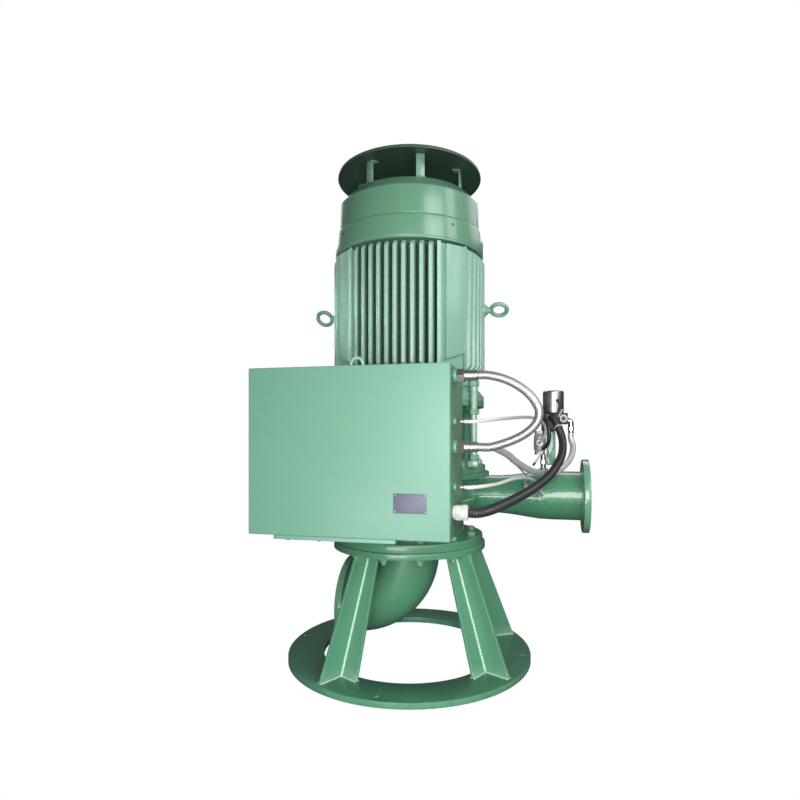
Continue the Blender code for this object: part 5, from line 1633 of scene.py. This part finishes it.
# %% [markdown]
# ## Floor and light
#
# The camera sees a white floor and a white surround. Every other ray meets
# a dim hall, which is why the machine's edges and undersides stay dark.

# %% Floor and surroundings
def build_floor():
    form = bmesh.new()
    bmesh.ops.create_grid(form, x_segments=8, y_segments=8, size=12)
    floor = bpy.data.objects.new("studio_floor", finished(form))
    scene.collection.objects.link(floor)
    floor.location.z = -0.0005
    material = bpy.data.materials.new("studio_floor")
    material.use_nodes = True
    tree = material.node_tree
    shader = tree.nodes["Principled BSDF"]
    seen = add(tree, "ShaderNodeLightPath").outputs["Is Camera Ray"]
    tree.links.new(mixed(tree, seen, (0.13, 0.13, 0.12, 1), (0, 0, 0, 1)),
                   shader.inputs["Base Color"])
    shader.inputs["Roughness"].default_value = 0.9
    shader.inputs["Specular IOR Level"].default_value = 0.0
    shader.inputs["Emission Color"].default_value = (1, 1, 1, 1)
    tree.links.new(seen, shader.inputs["Emission Strength"])
    floor.data.materials.append(material)


def build_world():
    world = bpy.data.worlds.new("studio")
    scene.world = world
    world.use_nodes = True
    tree = world.node_tree
    seen = add(tree, "ShaderNodeLightPath").outputs["Is Camera Ray"]
    colour = mixed(tree, seen, (0.075, 0.074, 0.072, 1), (1, 1, 1, 1))
    tree.links.new(colour, tree.nodes["Background"].inputs["Color"])


build_floor()
build_world()
scene.view_settings.view_transform = "Standard"


# %% [markdown]
# Enamel shows every light twice, as shading and as a reflection. A softbox
# beside the camera and a wide band give the even shading of the box, the
# stand and the branch, and a low glow lifts what faces the floor. Two tall
# panels high on the right are there for their reflections, the bright bars
# in the cowl. Three high panels behind draw the plates' rims, and a small
# fill with a narrow beam reaches the motor's shaded side.

# %% Lights
def panel(name, azimuth, distance, height, width, tall, power, target=0.9, spread=180):
    """A soft light; its azimuth is counted from the front towards the outlet."""
    data = bpy.data.lights.new(name, "AREA")
    data.shape = "RECTANGLE"
    data.size, data.size_y = width, tall
    data.energy = power
    data.spread = math.radians(spread)
    lamp = bpy.data.objects.new(name, data)
    scene.collection.objects.link(lamp)
    angle = math.radians(azimuth)
    lamp.location = SHAFT + Vector((distance * math.sin(angle), -distance * math.cos(angle), height))
    look = SHAFT + Vector((0, 0, target)) - lamp.location
    lamp.rotation_euler = look.to_track_quat("-Z", "Y").to_euler()


panel("softbox", 15, 2.35, 1.0, 1.1, 1.1, 30, target=0.85)
panel("front_band", 26, 2.5, 0.6, 2.4, 0.9, 12, target=0.6)
panel("floor_glow", -4, 2.0, 0.14, 1.0, 0.26, 9, target=0.35)
panel("key_high", 48, 2.6, 2.0, 1.2, 1.4, 20, target=1.1)
panel("bar_narrow", 46, 2.5, 2.35, 0.26, 1.5, 1.2)
panel("bar_wide", 76, 2.5, 2.35, 0.62, 1.5, 9)
panel("back_high", 170, 2.3, 2.9, 2.0, 1.2, 16, target=0.4)
panel("back_right", 128, 2.3, 2.8, 1.2, 1.2, 6, target=0.7)
panel("back_left", 228, 2.3, 2.8, 1.2, 1.2, 10, target=0.7)
panel("left_fill", -60, 2.6, 1.3, 0.3, 0.3, 0.35, target=1.22, spread=10)
print("10 soft lights")
